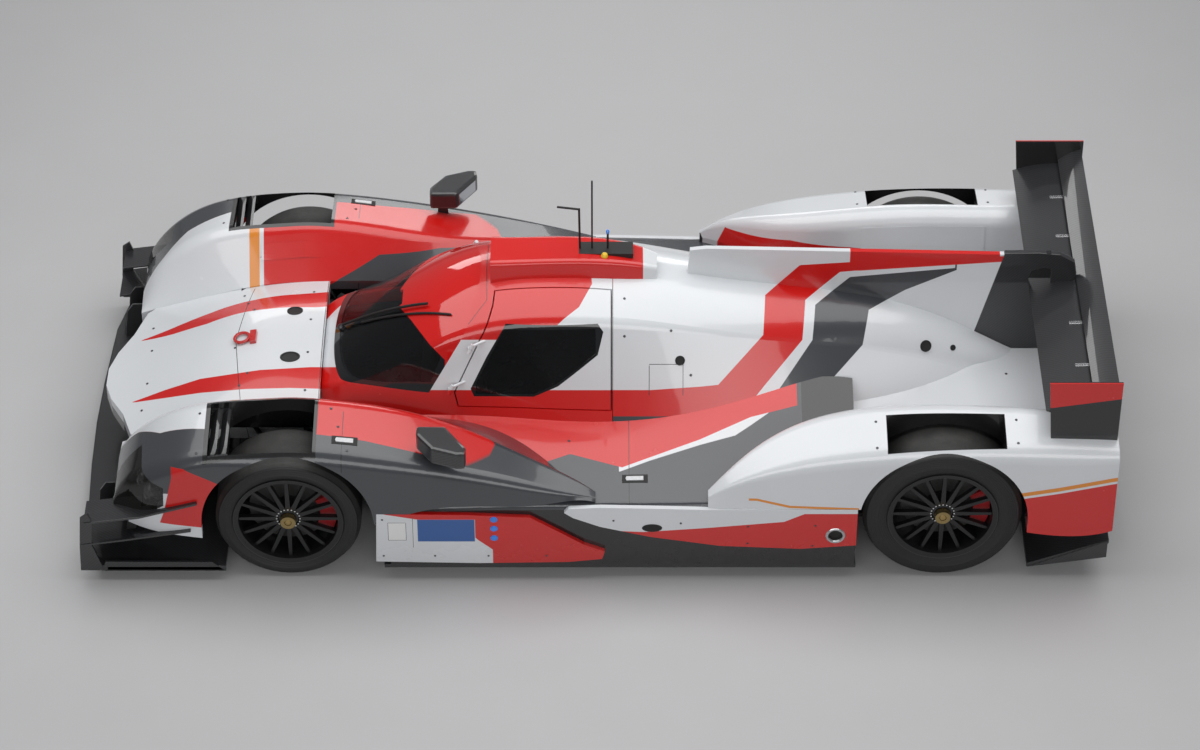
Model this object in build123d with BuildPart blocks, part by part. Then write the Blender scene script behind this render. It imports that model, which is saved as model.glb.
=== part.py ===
# Closed sports prototype race car, in millimetres.
# X points forwards, Y to the driver's left and Z up.
# The origin is on the ground, under the middle of the car's length and width.
import math
import os

from build123d import *

# Overall size and axle places
LENGTH = 4650.0
HALF_WIDTH = 1000.0
NOSE_X = LENGTH / 2
TAIL_X = -LENGTH / 2
FRONT_AXLE_X = 1352.0
WHEELBASE = 2920.0
REAR_AXLE_X = FRONT_AXLE_X - WHEELBASE

# Wheels and tyres
FRONT_TYRE_R = 325.0
REAR_TYRE_R = 355.0
FRONT_TYRE_W = 300.0
REAR_TYRE_W = 310.0
TYRE_FACE_Y = 975.0
SEAT_R = 228.6
FLANGE_R = 246.0
RIM_WALL = 9.0
HUB_R = 78.0
SPOKES = 16
DISC_R = 180.0
DISC_T = 32.0
STEER_LOCK = 15.0
KINGPIN_Y = 760.0

# Ground heights
SKID_Z = 40.0
FLOOR_Z = 60.0
FLOOR_T = 20.0
DECK_T = 12.0

# Walls, glass and running gaps
WALL = 22.0
SKIN = 12.0
GLASS = 6.0
DOOR_GAP = 6.0
WELL_GAP = 60.0
REAR_WELL_GAP = 22.0
FIT = 0.3

# Where the upper body is split along its length
SCREEN_BASE_X = 1172.0
BULKHEAD_X = -96.0
COVER_TAIL_X = -2110.0
CELL_SPLIT_Z = 500.0

os.makedirs("parts", exist_ok=True)


def across(x):
    """The plane across the car at x, with local x to the left and local y up."""
    return Plane(origin=(x, 0, 0), x_dir=(0, 1, 0), z_dir=(1, 0, 0))


def side(y=0.0):
    """The plane along the car at y, with local x forwards and local y up."""
    return Plane(origin=(0, y, 0), x_dir=(1, 0, 0), z_dir=(0, -1, 0))


def keep(solid, name):
    solid.label = name
    export_step(solid, f"parts/{name}.step")
    print(name, len(solid.solids()), round(solid.volume / 1e6, 2), "litres")


def pair(solid, name):
    """Writes the left piece and its mirror image as two nodes."""
    keep(solid, name + "_left")
    keep(solid.mirror(Plane.XZ), name + "_right")


def both(solid, name):
    """Writes the left piece and its mirror image as one node."""
    keep(solid + solid.mirror(Plane.XZ), name)


def block(x0, x1, y0, y1, z0, z1):
    """A box between two corners."""
    with BuildPart() as box:
        with Locations(((x0 + x1) / 2, (y0 + y1) / 2, (z0 + z1) / 2)):
            Box(x1 - x0, y1 - y0, z1 - z0)
    return box.part


def side_prism(points, y0, y1):
    """A side-view outline of x and z points, between two y planes."""
    with BuildPart() as prism:
        with BuildSketch(side(y1)):
            with BuildLine():
                Polyline(*points, close=True)
            make_face()
        extrude(amount=y1 - y0)
    return prism.part


def plan_prism(points, z0, z1):
    """A plan outline of x and y points, between two heights."""
    with BuildPart() as prism:
        with BuildSketch(Plane.XY.offset(z0)):
            with BuildLine():
                Polyline(*points, close=True)
            make_face()
        extrude(amount=z1 - z0)
    return prism.part


def round_bar(x, y, z, radius, length):
    """A bar along Y from y, length long."""
    with BuildPart() as bar:
        with BuildSketch(Plane(origin=(x, y, z), x_dir=(1, 0, 0), z_dir=(0, 1, 0))):
            Circle(radius)
        extrude(amount=length)
    return bar.part


def rod(a, b, radius):
    """A round rod from point a to point b."""
    a, b = Vector(*a), Vector(*b)
    with BuildPart() as bar:
        with BuildSketch(Plane(origin=a, z_dir=b - a)):
            Circle(radius)
        extrude(amount=(b - a).length)
    return bar.part


# Upper body from the screen's base to the tail, symmetric about Y = 0.
# Columns: x, half width at the base, base z, half width and z of the roof edge,
# centre z, corner radius
UPPER_BODY = [
    (1230, 440, 380, 300, 560, 575, 40),
    (1172, 455, 380, 320, 595, 621, 45),
    (1000, 475, 380, 330, 665, 752, 60),
    (780, 490, 380, 335, 790, 895, 80),
    (560, 500, 380, 330, 895, 995, 90),
    (250, 515, 380, 322, 945, 1045, 90),
    (-96, 545, 380, 310, 935, 1035, 90),
    (-600, 575, 380, 280, 850, 960, 90),
    (-1150, 560, 380, 230, 745, 880, 90),
    (-1650, 440, 380, 150, 590, 715, 70),
    (-2110, 300, 380, 90, 440, 485, 30),
]


def upper_outline(row, wall):
    """One cross-section of the upper body, moved inwards by wall."""
    x, y_base, z_base, y_edge, z_edge, z_top, radius = row
    base = y_base - wall
    edge = y_edge - wall * 0.8
    z_e = z_edge - wall * 0.7
    z_t = z_top - wall
    with BuildSketch(across(x)) as face:
        with BuildLine():
            Line((-base, z_base), (base, z_base))
            Line((base, z_base), (edge, z_e))
            ThreePointArc((edge, z_e), (0, z_t), (-edge, z_e))
            Line((-edge, z_e), (-base, z_base))
        make_face()
        fillet(face.vertices().sort_by(Axis.Y)[-2:], radius - wall * 0.5)
    return face.sketch


def upper_body(wall):
    with BuildPart() as body:
        for row in UPPER_BODY:
            add(upper_outline(row, wall))
        loft()
    return body.part



outer = upper_body(0)
inner = upper_body(WALL)
glass_core = upper_body(GLASS)
canopy_shell = outer - inner

# Tub under the canopy, down to the floor
TUB_Z = FLOOR_Z + FLOOR_T
TUB_PLAN = [(1560, 330), (1172, 440), (560, 485), (BULKHEAD_X, 500)]
tub_outline = TUB_PLAN + [(x, -y) for x, y in reversed(TUB_PLAN)]
tub_inside = [(1500, 306), (1172, 418), (560, 463), (BULKHEAD_X + 30, 478)]
tub_inside += [(x, -y) for x, y in reversed(tub_inside)]
tub = plan_prism(tub_outline, TUB_Z, 400.0)
tub_room = plan_prism(tub_inside, TUB_Z + 20, 400.0)

# Side-view outlines for the glass, the doors and their windows
SCREEN_SIDE = [(1300, 612), (735, 612), (560, 905), (452, 1100), (1300, 1100)]
DOOR_SIDE = [(600, 560), (615, 620), (500, 860), (440, 975), (405, 1100), (-88, 1100), (-88, 560)]
DOOR_TOP_Y = 165.0
WINDOW_SIDE = [(545, 640), (470, 790), (385, 935), (-30, 935), (-55, 900), (-30, 800), (150, 660), (260, 610), (530, 605)]


def grown_door(gap):
    """The door's outline prism, larger by gap all round."""
    with BuildPart() as prism:
        with BuildSketch(side(700)):
            with BuildLine():
                Polyline(*DOOR_SIDE, close=True)
            make_face()
            if gap:
                offset(amount=gap, kind=Kind.INTERSECTION)
        extrude(amount=700 - DOOR_TOP_Y + gap)
    return prism.part


screen_space = side_prism(SCREEN_SIDE, -700, 700)
door_space = grown_door(0)
door_opening = grown_door(DOOR_GAP)
window_space = side_prism(WINDOW_SIDE, 250, 700)

windscreen = (outer - glass_core) & screen_space
door = (canopy_shell & door_space) - window_space
door_window = ((outer - glass_core) & door_space) & window_space

front_half = block(BULKHEAD_X, 1300, -700, 700, 300, 1200)
cell = canopy_shell & front_half
cell = cell + (tub - tub_room)
cell = cell + (block(BULKHEAD_X, BULKHEAD_X + 25, -600, 600, 390, 1200) & outer)
cell = cell + (block(1205, 1230, -600, 600, 390, 1200) & outer)
cell = cell - screen_space - door_opening - door_opening.mirror(Plane.XZ)

# Door hinge axis: two arms on the pillar carry barrels on this line
HINGE_LOW = Vector(648, 452, 628)
HINGE_HIGH = Vector(528, 377, 878)
HINGE_DIR = (HINGE_HIGH - HINGE_LOW).normalized()
for t in (0.12, 0.88):
    mid = HINGE_LOW + (HINGE_HIGH - HINGE_LOW) * t
    door_end = mid + HINGE_DIR * 1.5
    cell_end = mid - HINGE_DIR * 1.5
    door_barrel = rod(door_end, door_end + HINGE_DIR * 22, 9)
    cell_barrel = rod(cell_end, cell_end - HINGE_DIR * 22, 9)
    pin = rod(cell_end, door_end, 5)
    door_arm = rod(door_end + HINGE_DIR * 11, door_end + HINGE_DIR * 11 + Vector(-70, -50, 0), 7)
    cell_arm = rod(cell_end - HINGE_DIR * 11, cell_end - HINGE_DIR * 11 + Vector(5, -70, -20), 7)
    door = door + ((door_barrel + door_arm) - inner)
    cell = cell + ((cell_barrel + cell_arm + pin) - inner)
cell = cell + (((cell_barrel + cell_arm).mirror(Plane.XZ)) - inner)
cell = cell + cell.mirror(Plane.XZ)
keep(cell, "cockpit_cell")
keep(windscreen, "windscreen")
pair(door, "door")
pair(door_window, "door_window")

# Nose
# Columns: x, half width, bottom z, side z, centre z
NOSE_ROWS = [
    (2270, 470, 290, 352, 362),
    (2120, 470, 280, 385, 402),
    (1850, 470, 250, 462, 508),
    (1571, 470, 200, 532, 597),
    (1350, 470, 200, 560, 616),
    (1232, 470, 200, 566, 620),
]
NOSE_PLAN = [(1232, 470), (2060, 470), (2100, 440), (2150, 290), (2215, 170), (2250, 60)]
nose_plan = NOSE_PLAN + [(x, -y) for x, y in reversed(NOSE_PLAN)]


def nose_loft():
    with BuildPart() as nose:
        for x, y, z0, z_side, z_top in NOSE_ROWS:
            with BuildSketch(across(x)):
                with BuildLine():
                    Polyline((-y, z_side), (-y, z0), (y, z0), (y, z_side))
                    ThreePointArc((y, z_side), (0, z_top), (-y, z_side))
                make_face()
        loft()
    return nose.part


# Front fender, left side
# Columns: x, inner y, valley z, crest y, crest z, shoulder y, shoulder z, top radius, low z
FENDER_ROWS = [
    (2135, 470, 372, 600, 400, 900, 390, 20, 300),
    (2060, 470, 398, 600, 540, 930, 520, 60, 290),
    (1960, 470, 428, 610, 640, 970, 600, 80, 280),
    (1830, 470, 468, 620, 715, 985, 665, 80, 260),
    (1620, 470, 528, 630, 765, 995, 710, 80, 240),
    (1352, 470, 560, 635, 785, 998, 725, 80, 240),
    (1050, 470, 566, 640, 755, 998, 700, 80, 300),
    (800, 480, 540, 650, 700, 996, 660, 70, 400),
    (500, 500, 500, 720, 620, 992, 600, 60, 440),
    (200, 700, 460, 830, 540, 985, 520, 40, 445),
    (-20, 900, 448, 920, 462, 965, 460, 5, 440),
]


def fender_loft(rows):
    with BuildPart() as fender:
        for x, y_in, z_valley, y_c, z_c, y_s, z_s, radius, z_low in rows:
            with BuildSketch(across(x)) as face:
                with BuildLine():
                    Polyline((y_in, z_low), (y_in, z_valley), (y_c, z_c), (y_s - 10, z_s), (y_s, z_low), close=True)
                make_face()
                fillet(face.vertices().sort_by(Axis.Y)[-2:], radius)
        loft()
    return fender.part


# Sidepod, left side
# Columns: x, inner y, inner z, outer z, shoulder radius
SIDEPOD_ROWS = [
    (900, 480, 470, 410, 30),
    (500, 490, 500, 425, 30),
    (100, 490, 492, 432, 30),
    (-300, 480, 520, 432, 30),
    (-700, 440, 590, 440, 30),
    (-1185, 400, 620, 450, 30),
]
POD_Y = 976.0
PANEL_Y0, PANEL_Y1 = 976.0, 998.0


def sidepod_loft():
    with BuildPart() as pod:
        for x, y, z, z_out, radius in SIDEPOD_ROWS:
            with BuildSketch(across(x)) as face:
                with BuildLine():
                    Polyline((y - 60, TUB_Z), (y - 60, z + 20), (POD_Y, z_out), (POD_Y, TUB_Z), close=True)
                make_face()
                fillet(face.vertices().group_by(Axis.X)[-1].sort_by(Axis.Y)[-1], radius)
        loft()
    return pod.part


# Rear fender, left side, same columns as the front fender
REAR_FENDER_ROWS = [
    (-520, 930, 470, 940, 492, 985, 480, 4, 425),
    (-640, 840, 500, 880, 610, 990, 560, 30, 425),
    (-850, 700, 520, 760, 710, 995, 650, 60, 425),
    (-1200, 630, 540, 680, 790, 998, 720, 80, 425),
    (-1568, 630, 540, 680, 812, 998, 745, 80, 380),
    (-1900, 630, 540, 690, 800, 998, 745, 80, 300),
    (-2325, 640, 500, 720, 770, 998, 735, 60, 300),
]

front_well = round_bar(FRONT_AXLE_X, 545, FRONT_TYRE_R, 385, 600)
rear_well = round_bar(REAR_AXLE_X, 642, REAR_TYRE_R, 376, 600)
front_under = block(FRONT_AXLE_X - 385, FRONT_AXLE_X + 385, 545, 1100, 0, FRONT_TYRE_R)
rear_arm_space = block(REAR_AXLE_X - 170, REAR_AXLE_X + 170, 600, 660, 100, 508)
rear_under = block(REAR_AXLE_X - 376, REAR_AXLE_X + 376, 642, 1100, 0, REAR_TYRE_R)
arm_space = block(FRONT_AXLE_X - 300, FRONT_AXLE_X + 300, 400, 560, 120, 520)

nose = nose_loft() & plan_prism(nose_plan, 100, 900)
nose = nose - tub - arm_space - arm_space.mirror(Plane.XZ) - outer
keep(nose, "nose")

sidepod = sidepod_loft() - outer - tub
sidepod = sidepod - block(800, 1000, 400, 620, 0, 900)
fender = fender_loft(FENDER_ROWS) - front_well - front_under - arm_space
fender = fender - sidepod - outer - tub - nose
fender = max(fender.solids(), key=lambda s: s.volume)
rear_fender = fender_loft(REAR_FENDER_ROWS) - rear_well - rear_under - rear_arm_space - sidepod

# Openings over the wheels
FRONT_VENT = [(1692, 650), (1692, 955), (1228, 955), (1228, 650)]
REAR_VENT = [(-1307, 770), (-1307, 965), (-1829, 955), (-1829, 770)]
front_vent = plan_prism(FRONT_VENT, 500, 900)
rear_vent = plan_prism(REAR_VENT, 500, 900)
fender = fender - front_vent
rear_fender = rear_fender - rear_vent

# Lamps let into the corners
LAMP_SIDE = [(2150, 350), (2150, 620), (2060, 620), (1895, 530), (1900, 430), (2010, 350)]
lamp_space = side_prism(LAMP_SIDE, 745, 1010)
headlamp = fender & lamp_space
fender = fender - lamp_space
tail_lamp = block(-2325, -2285, 905, 965, 520, 690)
rear_fender = rear_fender - tail_lamp
pair(fender, "front_fender")
pair(rear_fender, "rear_fender")
both(sidepod, "sidepods")
both(headlamp, "headlamps")
both(tail_lamp, "tail_lamps")

# Louvre slats in the front openings
with BuildPart() as slats:
    for x in (1670, 1625):
        with Locations((x, 802.5, 700)):
            Box(14, 305, 50, rotation=(0, -35, 0))
    for y in (653, 952):
        with Locations((1645, y, 690)):
            Box(90, 6, 60)
louvres = slats.part & fender_loft(FENDER_ROWS)
both(louvres, "fender_louvres")

# Flank panels
panel = side_prism([(960, 100), (960, 400), (560, 398), (200, 330), (0, 200), (0, 100)], PANEL_Y0, PANEL_Y1)
rear_panel = side_prism([(0, 100), (0, 250), (-200, 400), (-500, 425), (-1185, 425), (-1185, 100)], PANEL_Y0, PANEL_Y1)
rear_panel = rear_panel - round_bar(-1091, 900, 253, 45, 200)
both((panel - fender) + (rear_panel - rear_fender), "flank_panels")

# Engine cover with its fin
FIN_T = 24.0
FIN_SIDE = [(-430, 900), (-447, 1118), (-520, 1128), (-1870, 1094), (-2083, 1100), (-2108, 440), (-1700, 500)]
fin = side_prism(FIN_SIDE, -FIN_T / 2, FIN_T / 2) - block(-2300, -1980, -30, 30, 880, 960)
deck = plan_prism([(-1100, 620), (-2100, 620), (-2115, 300), (-2115, -300), (-2100, -620), (-1100, -620)], 515, 550)
cover = canopy_shell & block(COVER_TAIL_X - 10, BULKHEAD_X - 3, -700, 700, 380, 1200)
cover = cover + (fin - inner) + (deck - inner)
cover = cover - block(-1780, -1360, -640, 640, 370, 512) - block(-2130, -1690, -70, 70, 370, 460)
cover = cover - sidepod - sidepod.mirror(Plane.XZ) - rear_fender - rear_fender.mirror(Plane.XZ)
keep(cover, "engine_cover")

# Roof scoop
SCOOP_ROWS = [(455, 105, 1118), (300, 100, 1120), (-100, 90, 1112), (-298, 60, 1060)]
with BuildPart() as scoop_block:
    for x, y, z in SCOOP_ROWS:
        with BuildSketch(across(x)) as face:
            with BuildLine():
                Polyline((-y - 15, 990), (y + 15, 990), (y, z), (-y, z), close=True)
            make_face()
            fillet(face.vertices().sort_by(Axis.Y)[-2:], 25)
    loft()
scoop_mouth = block(150, 500, -85, 85, 1052, 1100)
scoop = scoop_block.part - outer - scoop_mouth
keep(scoop, "roof_scoop")

# Floor, skid block and splitter
FLOOR_PLAN = [(1640, 520), (930, 520), (930, 976), (-1190, 976), (-1190, 630), (-1960, 630)]
floor_outline = FLOOR_PLAN + [(x, -y) for x, y in reversed(FLOOR_PLAN)]
floor = plan_prism(floor_outline, FLOOR_Z, TUB_Z)
skid = plan_prism([(1500, 100), (1400, 150), (-1900, 150), (-1900, -150), (1400, -150), (1500, -100)], SKID_Z, FLOOR_Z)
keep(floor, "floor")
keep(skid, "skid_block")

SPLITTER_PLAN = [(1640, 0), (1640, 620), (1642, 700), (1642, 1000), (2180, 1000), (2250, 960), (2300, 700), (2325, 300), (2325, 0)]
splitter_outline = SPLITTER_PLAN + [(x, -y) for x, y in reversed(SPLITTER_PLAN[1:-1])]
splitter = plan_prism(splitter_outline, 60, 90)
for y in (650, 783):
    splitter = splitter + side_prism([(2248, 80), (2200, 280), (2067, 285), (2067, 80)], y - 4, y + 4)
for y in (650, 783):
    splitter = splitter + side_prism([(2248, 80), (2200, 280), (2067, 285), (2067, 80)], -y - 4, -y + 4)
end_plate = side_prism([(2240, 60), (2230, 390), (2120, 390), (1760, 300), (1650, 60)], 990, 1000)
splitter = splitter + end_plate + end_plate.mirror(Plane.XZ)
splitter = splitter + block(1640, 1750, -300, 300, 80, 250)
splitter = splitter - nose - fender - fender.mirror(Plane.XZ)
keep(splitter, "front_splitter")

# Rear wing
WING_HALF = 888.0
with BuildPart() as wing_main:
    with BuildSketch(side(WING_HALF)):
        with BuildLine():
            ThreePointArc((-1995, 905), (-2090, 935), (-2215, 945))
            ThreePointArc((-2215, 945), (-2100, 890), (-1995, 905))
        make_face()
    extrude(amount=2 * WING_HALF)
with BuildPart() as wing_flap:
    with BuildSketch(side(WING_HALF)):
        with BuildLine():
            ThreePointArc((-2205, 965), (-2250, 1000), (-2310, 1030))
            ThreePointArc((-2310, 1030), (-2260, 970), (-2205, 965))
        make_face()
    extrude(amount=2 * WING_HALF)
wing_plate = side_prism([(-2000, 1070), (-2320, 1070), (-2320, 700), (-2030, 700)], WING_HALF, WING_HALF + 12)
wing_plate = wing_plate - fender_loft(REAR_FENDER_ROWS)
keep(wing_main.part + wing_flap.part, "rear_wing")
both(wing_plate, "wing_endplates")

# Swan neck from the gearbox over the top of the wing
pylon = side_prism([(-2020, 470), (-2086, 1100), (-2095, 1110), (-2190, 1030), (-2160, 940), (-2110, 930), (-2120, 1040), (-2130, 470)], -8, 8)
pylon = pylon - wing_main.part - cover
pylon = max(pylon.solids(), key=lambda s: s.volume)
keep(pylon, "wing_pylon")

# Diffuser under the tail
DIFF = [(-1960, 80), (-1960, 60), (-2320, 200), (-2320, 220)]
diffuser = side_prism(DIFF, -970, 970)
for y in (-970, -600, -300, 0, 300, 600, 970):
    diffuser = diffuser + side_prism([(-1965, 62), (-2315, 120), (-2315, 215)], y - 4, y + 4)
keep(diffuser, "rear_diffuser")

# Gearbox and engine
keep(block(-950, -350, -240, 240, TUB_Z, 560), "engine")
gearbox = block(-1700, -950, -130, 130, 150, 440) + block(-2125, -1700, -60, 60, 250, 455)
gearbox = gearbox + block(-1750, -1650, -40, 40, TUB_Z, 200)
keep(gearbox, "gearbox")
tail_frame = block(-2125, -2100, -620, 620, 250, 455) - gearbox


def on_axle(x, z):
    """Sketch plane for a wheel's cross-section: local x is Y, local y is up from the axle."""
    return Plane(origin=(x, 0, z), x_dir=(0, 1, 0), z_dir=(1, 0, 0))


def axle_line(x, z):
    return Axis((x, 0, z), (0, 1, 0))


def make_tyre(x, radius, width):
    y0, y1 = TYRE_FACE_Y - width, TYRE_FACE_Y
    with BuildPart() as tyre:
        with BuildSketch(on_axle(x, radius)) as face:
            with BuildLine():
                Polyline((y0 + 26, SEAT_R), (y0 + 14, FLANGE_R), (y0, (radius + SEAT_R) / 2),
                         (y0 + 12, radius - 16), (y0 + 40, radius), (y1 - 40, radius), (y1 - 12, radius - 16),
                         (y1, (radius + SEAT_R) / 2), (y1 - 14, FLANGE_R), (y1 - 26, SEAT_R), close=True)
            make_face()
        revolve(axis=axle_line(x, radius))
    return tyre.part


def make_rim(x, radius, width):
    y0, y1 = TYRE_FACE_Y - width, TYRE_FACE_Y
    with BuildPart() as rim:
        with BuildSketch(on_axle(x, radius)):
            with BuildLine():
                Polyline((y0 + 8, FLANGE_R), (y0 + 14, FLANGE_R), (y0 + 26, SEAT_R), (y1 - 26, SEAT_R),
                         (y1 - 14, FLANGE_R), (y1 - 6, FLANGE_R), (y1 - 12, SEAT_R - 6), (y1 - 30, SEAT_R - RIM_WALL),
                         (y0 + 20, SEAT_R - RIM_WALL), close=True)
            make_face()
            with BuildLine():
                Polyline((y1 - 110, 32), (y1 - 110, 62), (y1 - 58, 66), (y1 - 40, 58), (y1 - 30, 38), (y1, 34), (y1, 16),
                         (y1 - 24, 16), (y1 - 24, 32), close=True)
            make_face()
            with BuildLine():
                Polyline((y1 - 150, 32), (y1 - 110, 32), (y1 - 110, DISC_R - 60), (y1 - 112, DISC_R), (y1 - 112 - DISC_T, DISC_R), (y1 - 112 - DISC_T, DISC_R - 60), (y1 - 150, DISC_R - 65), close=True)
            make_face()
        revolve(axis=axle_line(x, radius))
        with BuildSketch(Plane(origin=(x, y1 - 30, radius), x_dir=(1, 0, 0), z_dir=(0, -1, 0))):
            with PolarLocations(0, SPOKES):
                Polygon((50, -11), (SEAT_R - 5, -7), (SEAT_R - 5, 7), (50, 11), align=None)
        extrude(amount=24)
    return rim.part


def make_upright(x, radius, width):
    """Upright with its stub axle and caliper, left side."""
    y1 = TYRE_FACE_Y
    y_back = y1 - 160
    with BuildPart() as upright:
        with BuildSketch(side(y_back)):
            with Locations((x, radius)):
                Circle(70)
                Rectangle(90, 232)
        extrude(amount=45)
        with BuildSketch(side(y_back)):
            with Locations((x, radius)):
                Circle(45)
        extrude(amount=-8)
        with BuildSketch(side(y_back)):
            with Locations((x, radius)):
                Circle(31.5)
        extrude(amount=-(160 - 30))
    body = upright.part
    with BuildPart() as caliper:
        with BuildSketch(side(y1 - 112 + 42)):
            with BuildLine():
                l1 = CenterArc((x, radius), 214, 150, 60)
                l2 = CenterArc((x, radius), 140, 150, 60)
                Line(l1 @ 0, l2 @ 0)
                Line(l1 @ 1, l2 @ 1)
            make_face()
        extrude(amount=DISC_T + 84)
        with BuildSketch(side(y1 - 112 + 5)):
            with Locations((x, radius)):
                Circle(DISC_R + 5)
        extrude(amount=DISC_T + 10, mode=Mode.SUBTRACT)
    arm = block(x - 170, x - 40, y_back - 45, y1 - 112 - DISC_T - 10, radius - 30, radius + 30)
    return body + caliper.part + arm


for end, x, radius, width in (("front", FRONT_AXLE_X, FRONT_TYRE_R, FRONT_TYRE_W),
                              ("rear", REAR_AXLE_X, REAR_TYRE_R, REAR_TYRE_W)):
    pair(make_tyre(x, radius, width), end + "_tyre")
    pair(make_rim(x, radius, width), end + "_rim")
    if end == "front":
        pair(make_upright(x, radius, width), "front_knuckle")
    else:
        both(make_upright(x, radius, width), "rear_uprights")

# Suspension arms to the upright's ball joints, and the tie rods
JOINT_Y = TYRE_FACE_Y - 160 - 22
def make_arms(x, radius, y_in, spread):
    arms = None
    for z, z_in in ((radius - 130, 175), (radius + 130, radius + 95)):
        for dx in (-spread, spread):
            bar = rod((x + dx, y_in, z_in), (x, JOINT_Y, z), 11)
            arms = bar if arms is None else arms + bar
        with BuildPart() as ball:
            with Locations((x, JOINT_Y, z)):
                Cylinder(18, 24)
        arms = arms + ball.part
    return arms

front_arms = make_arms(FRONT_AXLE_X, FRONT_TYRE_R, 400, 190) - tub
rear_arms = make_arms(REAR_AXLE_X, REAR_TYRE_R, 120, 130) - gearbox
drive = round_bar(REAR_AXLE_X, 130, REAR_TYRE_R, 22, TYRE_FACE_Y - 160 - 45 - 130)
rear_arms = rear_arms + drive
both(front_arms - cell - nose, "front_suspension")
both(rear_arms, "rear_suspension")

# Cabin
seat = side_prism([(380, 150), (420, 170), (120, 130), (-60, 420), (-66, 700), (-68, 720), (-68, 100), (420, 100)], 40, 400)
seat = side_prism([(380, 150), (420, 170), (120, 130), (-40, 420), (-50, 720), (-68, 720), (-68, 100), (420, 100)], 60, 350) - cell
keep(seat, "seat")
dash = (side_prism([(790, 400), (700, 560), (640, 560), (640, 480)], -600, 600) & inner) - cell
keep(dash, "dashboard")
with BuildPart() as steering_wheel:
    with BuildSketch(Plane(origin=(520, 220, 500), x_dir=(0, 1, 0), z_dir=(-0.95, 0, 0.31))):
        Rectangle(270, 150)
        Rectangle(120, 90, mode=Mode.SUBTRACT)
    extrude(amount=22)
column = rod((560, 220, 470), (505, 220, 505), 18) + rod((560, 220, 470), (640, 220, 500), 18)
bars = block(500, 530, 150, 290, 490, 512)
keep(steering_wheel.part + bars + column - dash, "steering_wheel")

# Mirrors
mirror_arm = side_prism([(590, 560), (650, 560), (650, 730), (600, 730)], 893, 905)
mirror_head = block(560, 680, 852, 1044, 720, 790)
mirror = (mirror_head + mirror_arm) - fender_loft(FENDER_ROWS)
mirror = max(mirror.solids(), key=lambda s: s.volume)
both(mirror, "mirrors")

# Aerials on the scoop
aerial_plate = block(-190, 90, -45, 45, 1100, 1124) - scoop - outer
aerials = aerial_plate + rod((-4, 0, 1120), (-4, 0, 1500), 4)
aerials = aerials + rod((51, 0, 1120), (54, 0, 1345), 5) + rod((50, 0, 1341), (153, 0, 1355), 5)
keep(aerials - scoop, "aerials")
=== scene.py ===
# %% [markdown]
# # A closed sports prototype race car
# A car of this class is built round a closed carbon cell, with four fenders standing apart from a narrow nose and cover
# and a wing on a neck behind. Its solids are already packed as a frame, with the wheels, the steering and the doors on
# bodies of their own. This script dresses that frame: paint, glass, rubber and the small fittings, then a plain studio
# around it. All lengths are in metres. +X points to the nose, +Y to the driver's left and +Z up.

# %% Load the frame
import math

import bmesh
import bpy
from mathutils import Matrix, Vector


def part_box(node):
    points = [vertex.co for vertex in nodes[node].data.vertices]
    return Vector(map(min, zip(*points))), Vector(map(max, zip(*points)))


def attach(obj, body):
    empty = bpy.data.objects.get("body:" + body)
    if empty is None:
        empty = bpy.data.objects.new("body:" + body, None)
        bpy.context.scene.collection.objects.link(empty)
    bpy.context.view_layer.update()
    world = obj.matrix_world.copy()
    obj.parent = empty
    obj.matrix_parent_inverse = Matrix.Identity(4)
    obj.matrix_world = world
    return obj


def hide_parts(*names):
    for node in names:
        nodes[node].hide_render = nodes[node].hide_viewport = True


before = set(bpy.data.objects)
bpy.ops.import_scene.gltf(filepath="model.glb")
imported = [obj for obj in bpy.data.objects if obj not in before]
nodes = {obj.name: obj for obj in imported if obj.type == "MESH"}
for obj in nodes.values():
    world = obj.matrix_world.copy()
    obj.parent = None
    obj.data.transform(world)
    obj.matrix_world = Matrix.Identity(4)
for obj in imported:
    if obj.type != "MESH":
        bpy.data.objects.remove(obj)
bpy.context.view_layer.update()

# %% [markdown]
# ## Camera
# The view looks down on the driver's side from high up, through a long lens that hardly narrows the far side. Its lens
# and place could be tried by eye, but fitting them to the four wheels is surer, because the wheelbase and the rims have
# known sizes and then land where the photograph has them.

# %% Camera
AIM = Vector((-0.04, 0.0, 0.378))
VIEW_DOWN = math.radians(39.5)
VIEW_DISTANCE = 17.73
LENS = 114.4

camera_data = bpy.data.cameras.new("camera")
camera_data.lens = LENS
camera_data.sensor_width = 36.0
camera_data.clip_end = 200.0
camera = bpy.data.objects.new("camera", camera_data)
bpy.context.scene.collection.objects.link(camera)
camera.location = AIM + VIEW_DISTANCE * Vector((0, math.cos(VIEW_DOWN), math.sin(VIEW_DOWN)))
camera.rotation_euler = (AIM - camera.location).to_track_quat("-Z", "Y").to_euler()
bpy.context.scene.camera = camera
print("camera", tuple(round(v, 2) for v in camera.location))

# %% [markdown]
# ## Node helpers
# Every finish is a small tree of Math, Mix and Noise nodes. Written out one by one they hide what they mean, so a few
# functions add a node, set or link its inputs and hand back its output. A finish then reads as a few lines.


# %% Wire nodes
def put(tree, socket, value):
    """Links value into socket if it is a socket, or sets it."""
    if isinstance(value, bpy.types.NodeSocket):
        tree.links.new(value, socket)
    elif value is not None:
        opaque = isinstance(value, tuple) and len(value) == 3 and socket.type == "RGBA"
        socket.default_value = (*value, 1.0) if opaque else value


def feed(tree, node, **values):
    """Links or sets the inputs of a node by name; an underscore stands for a space."""
    for label, value in values.items():
        put(tree, node.inputs[label.replace("_", " ")], value)


def calc(tree, operation, a, b=None, c=None, clamp=False):
    """One Math node; its inputs are numbers or sockets."""
    node = tree.nodes.new("ShaderNodeMath")
    node.operation = operation
    node.use_clamp = clamp
    for socket, value in zip(node.inputs, (a, b, c)):
        put(tree, socket, value)
    return node.outputs[0]


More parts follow.
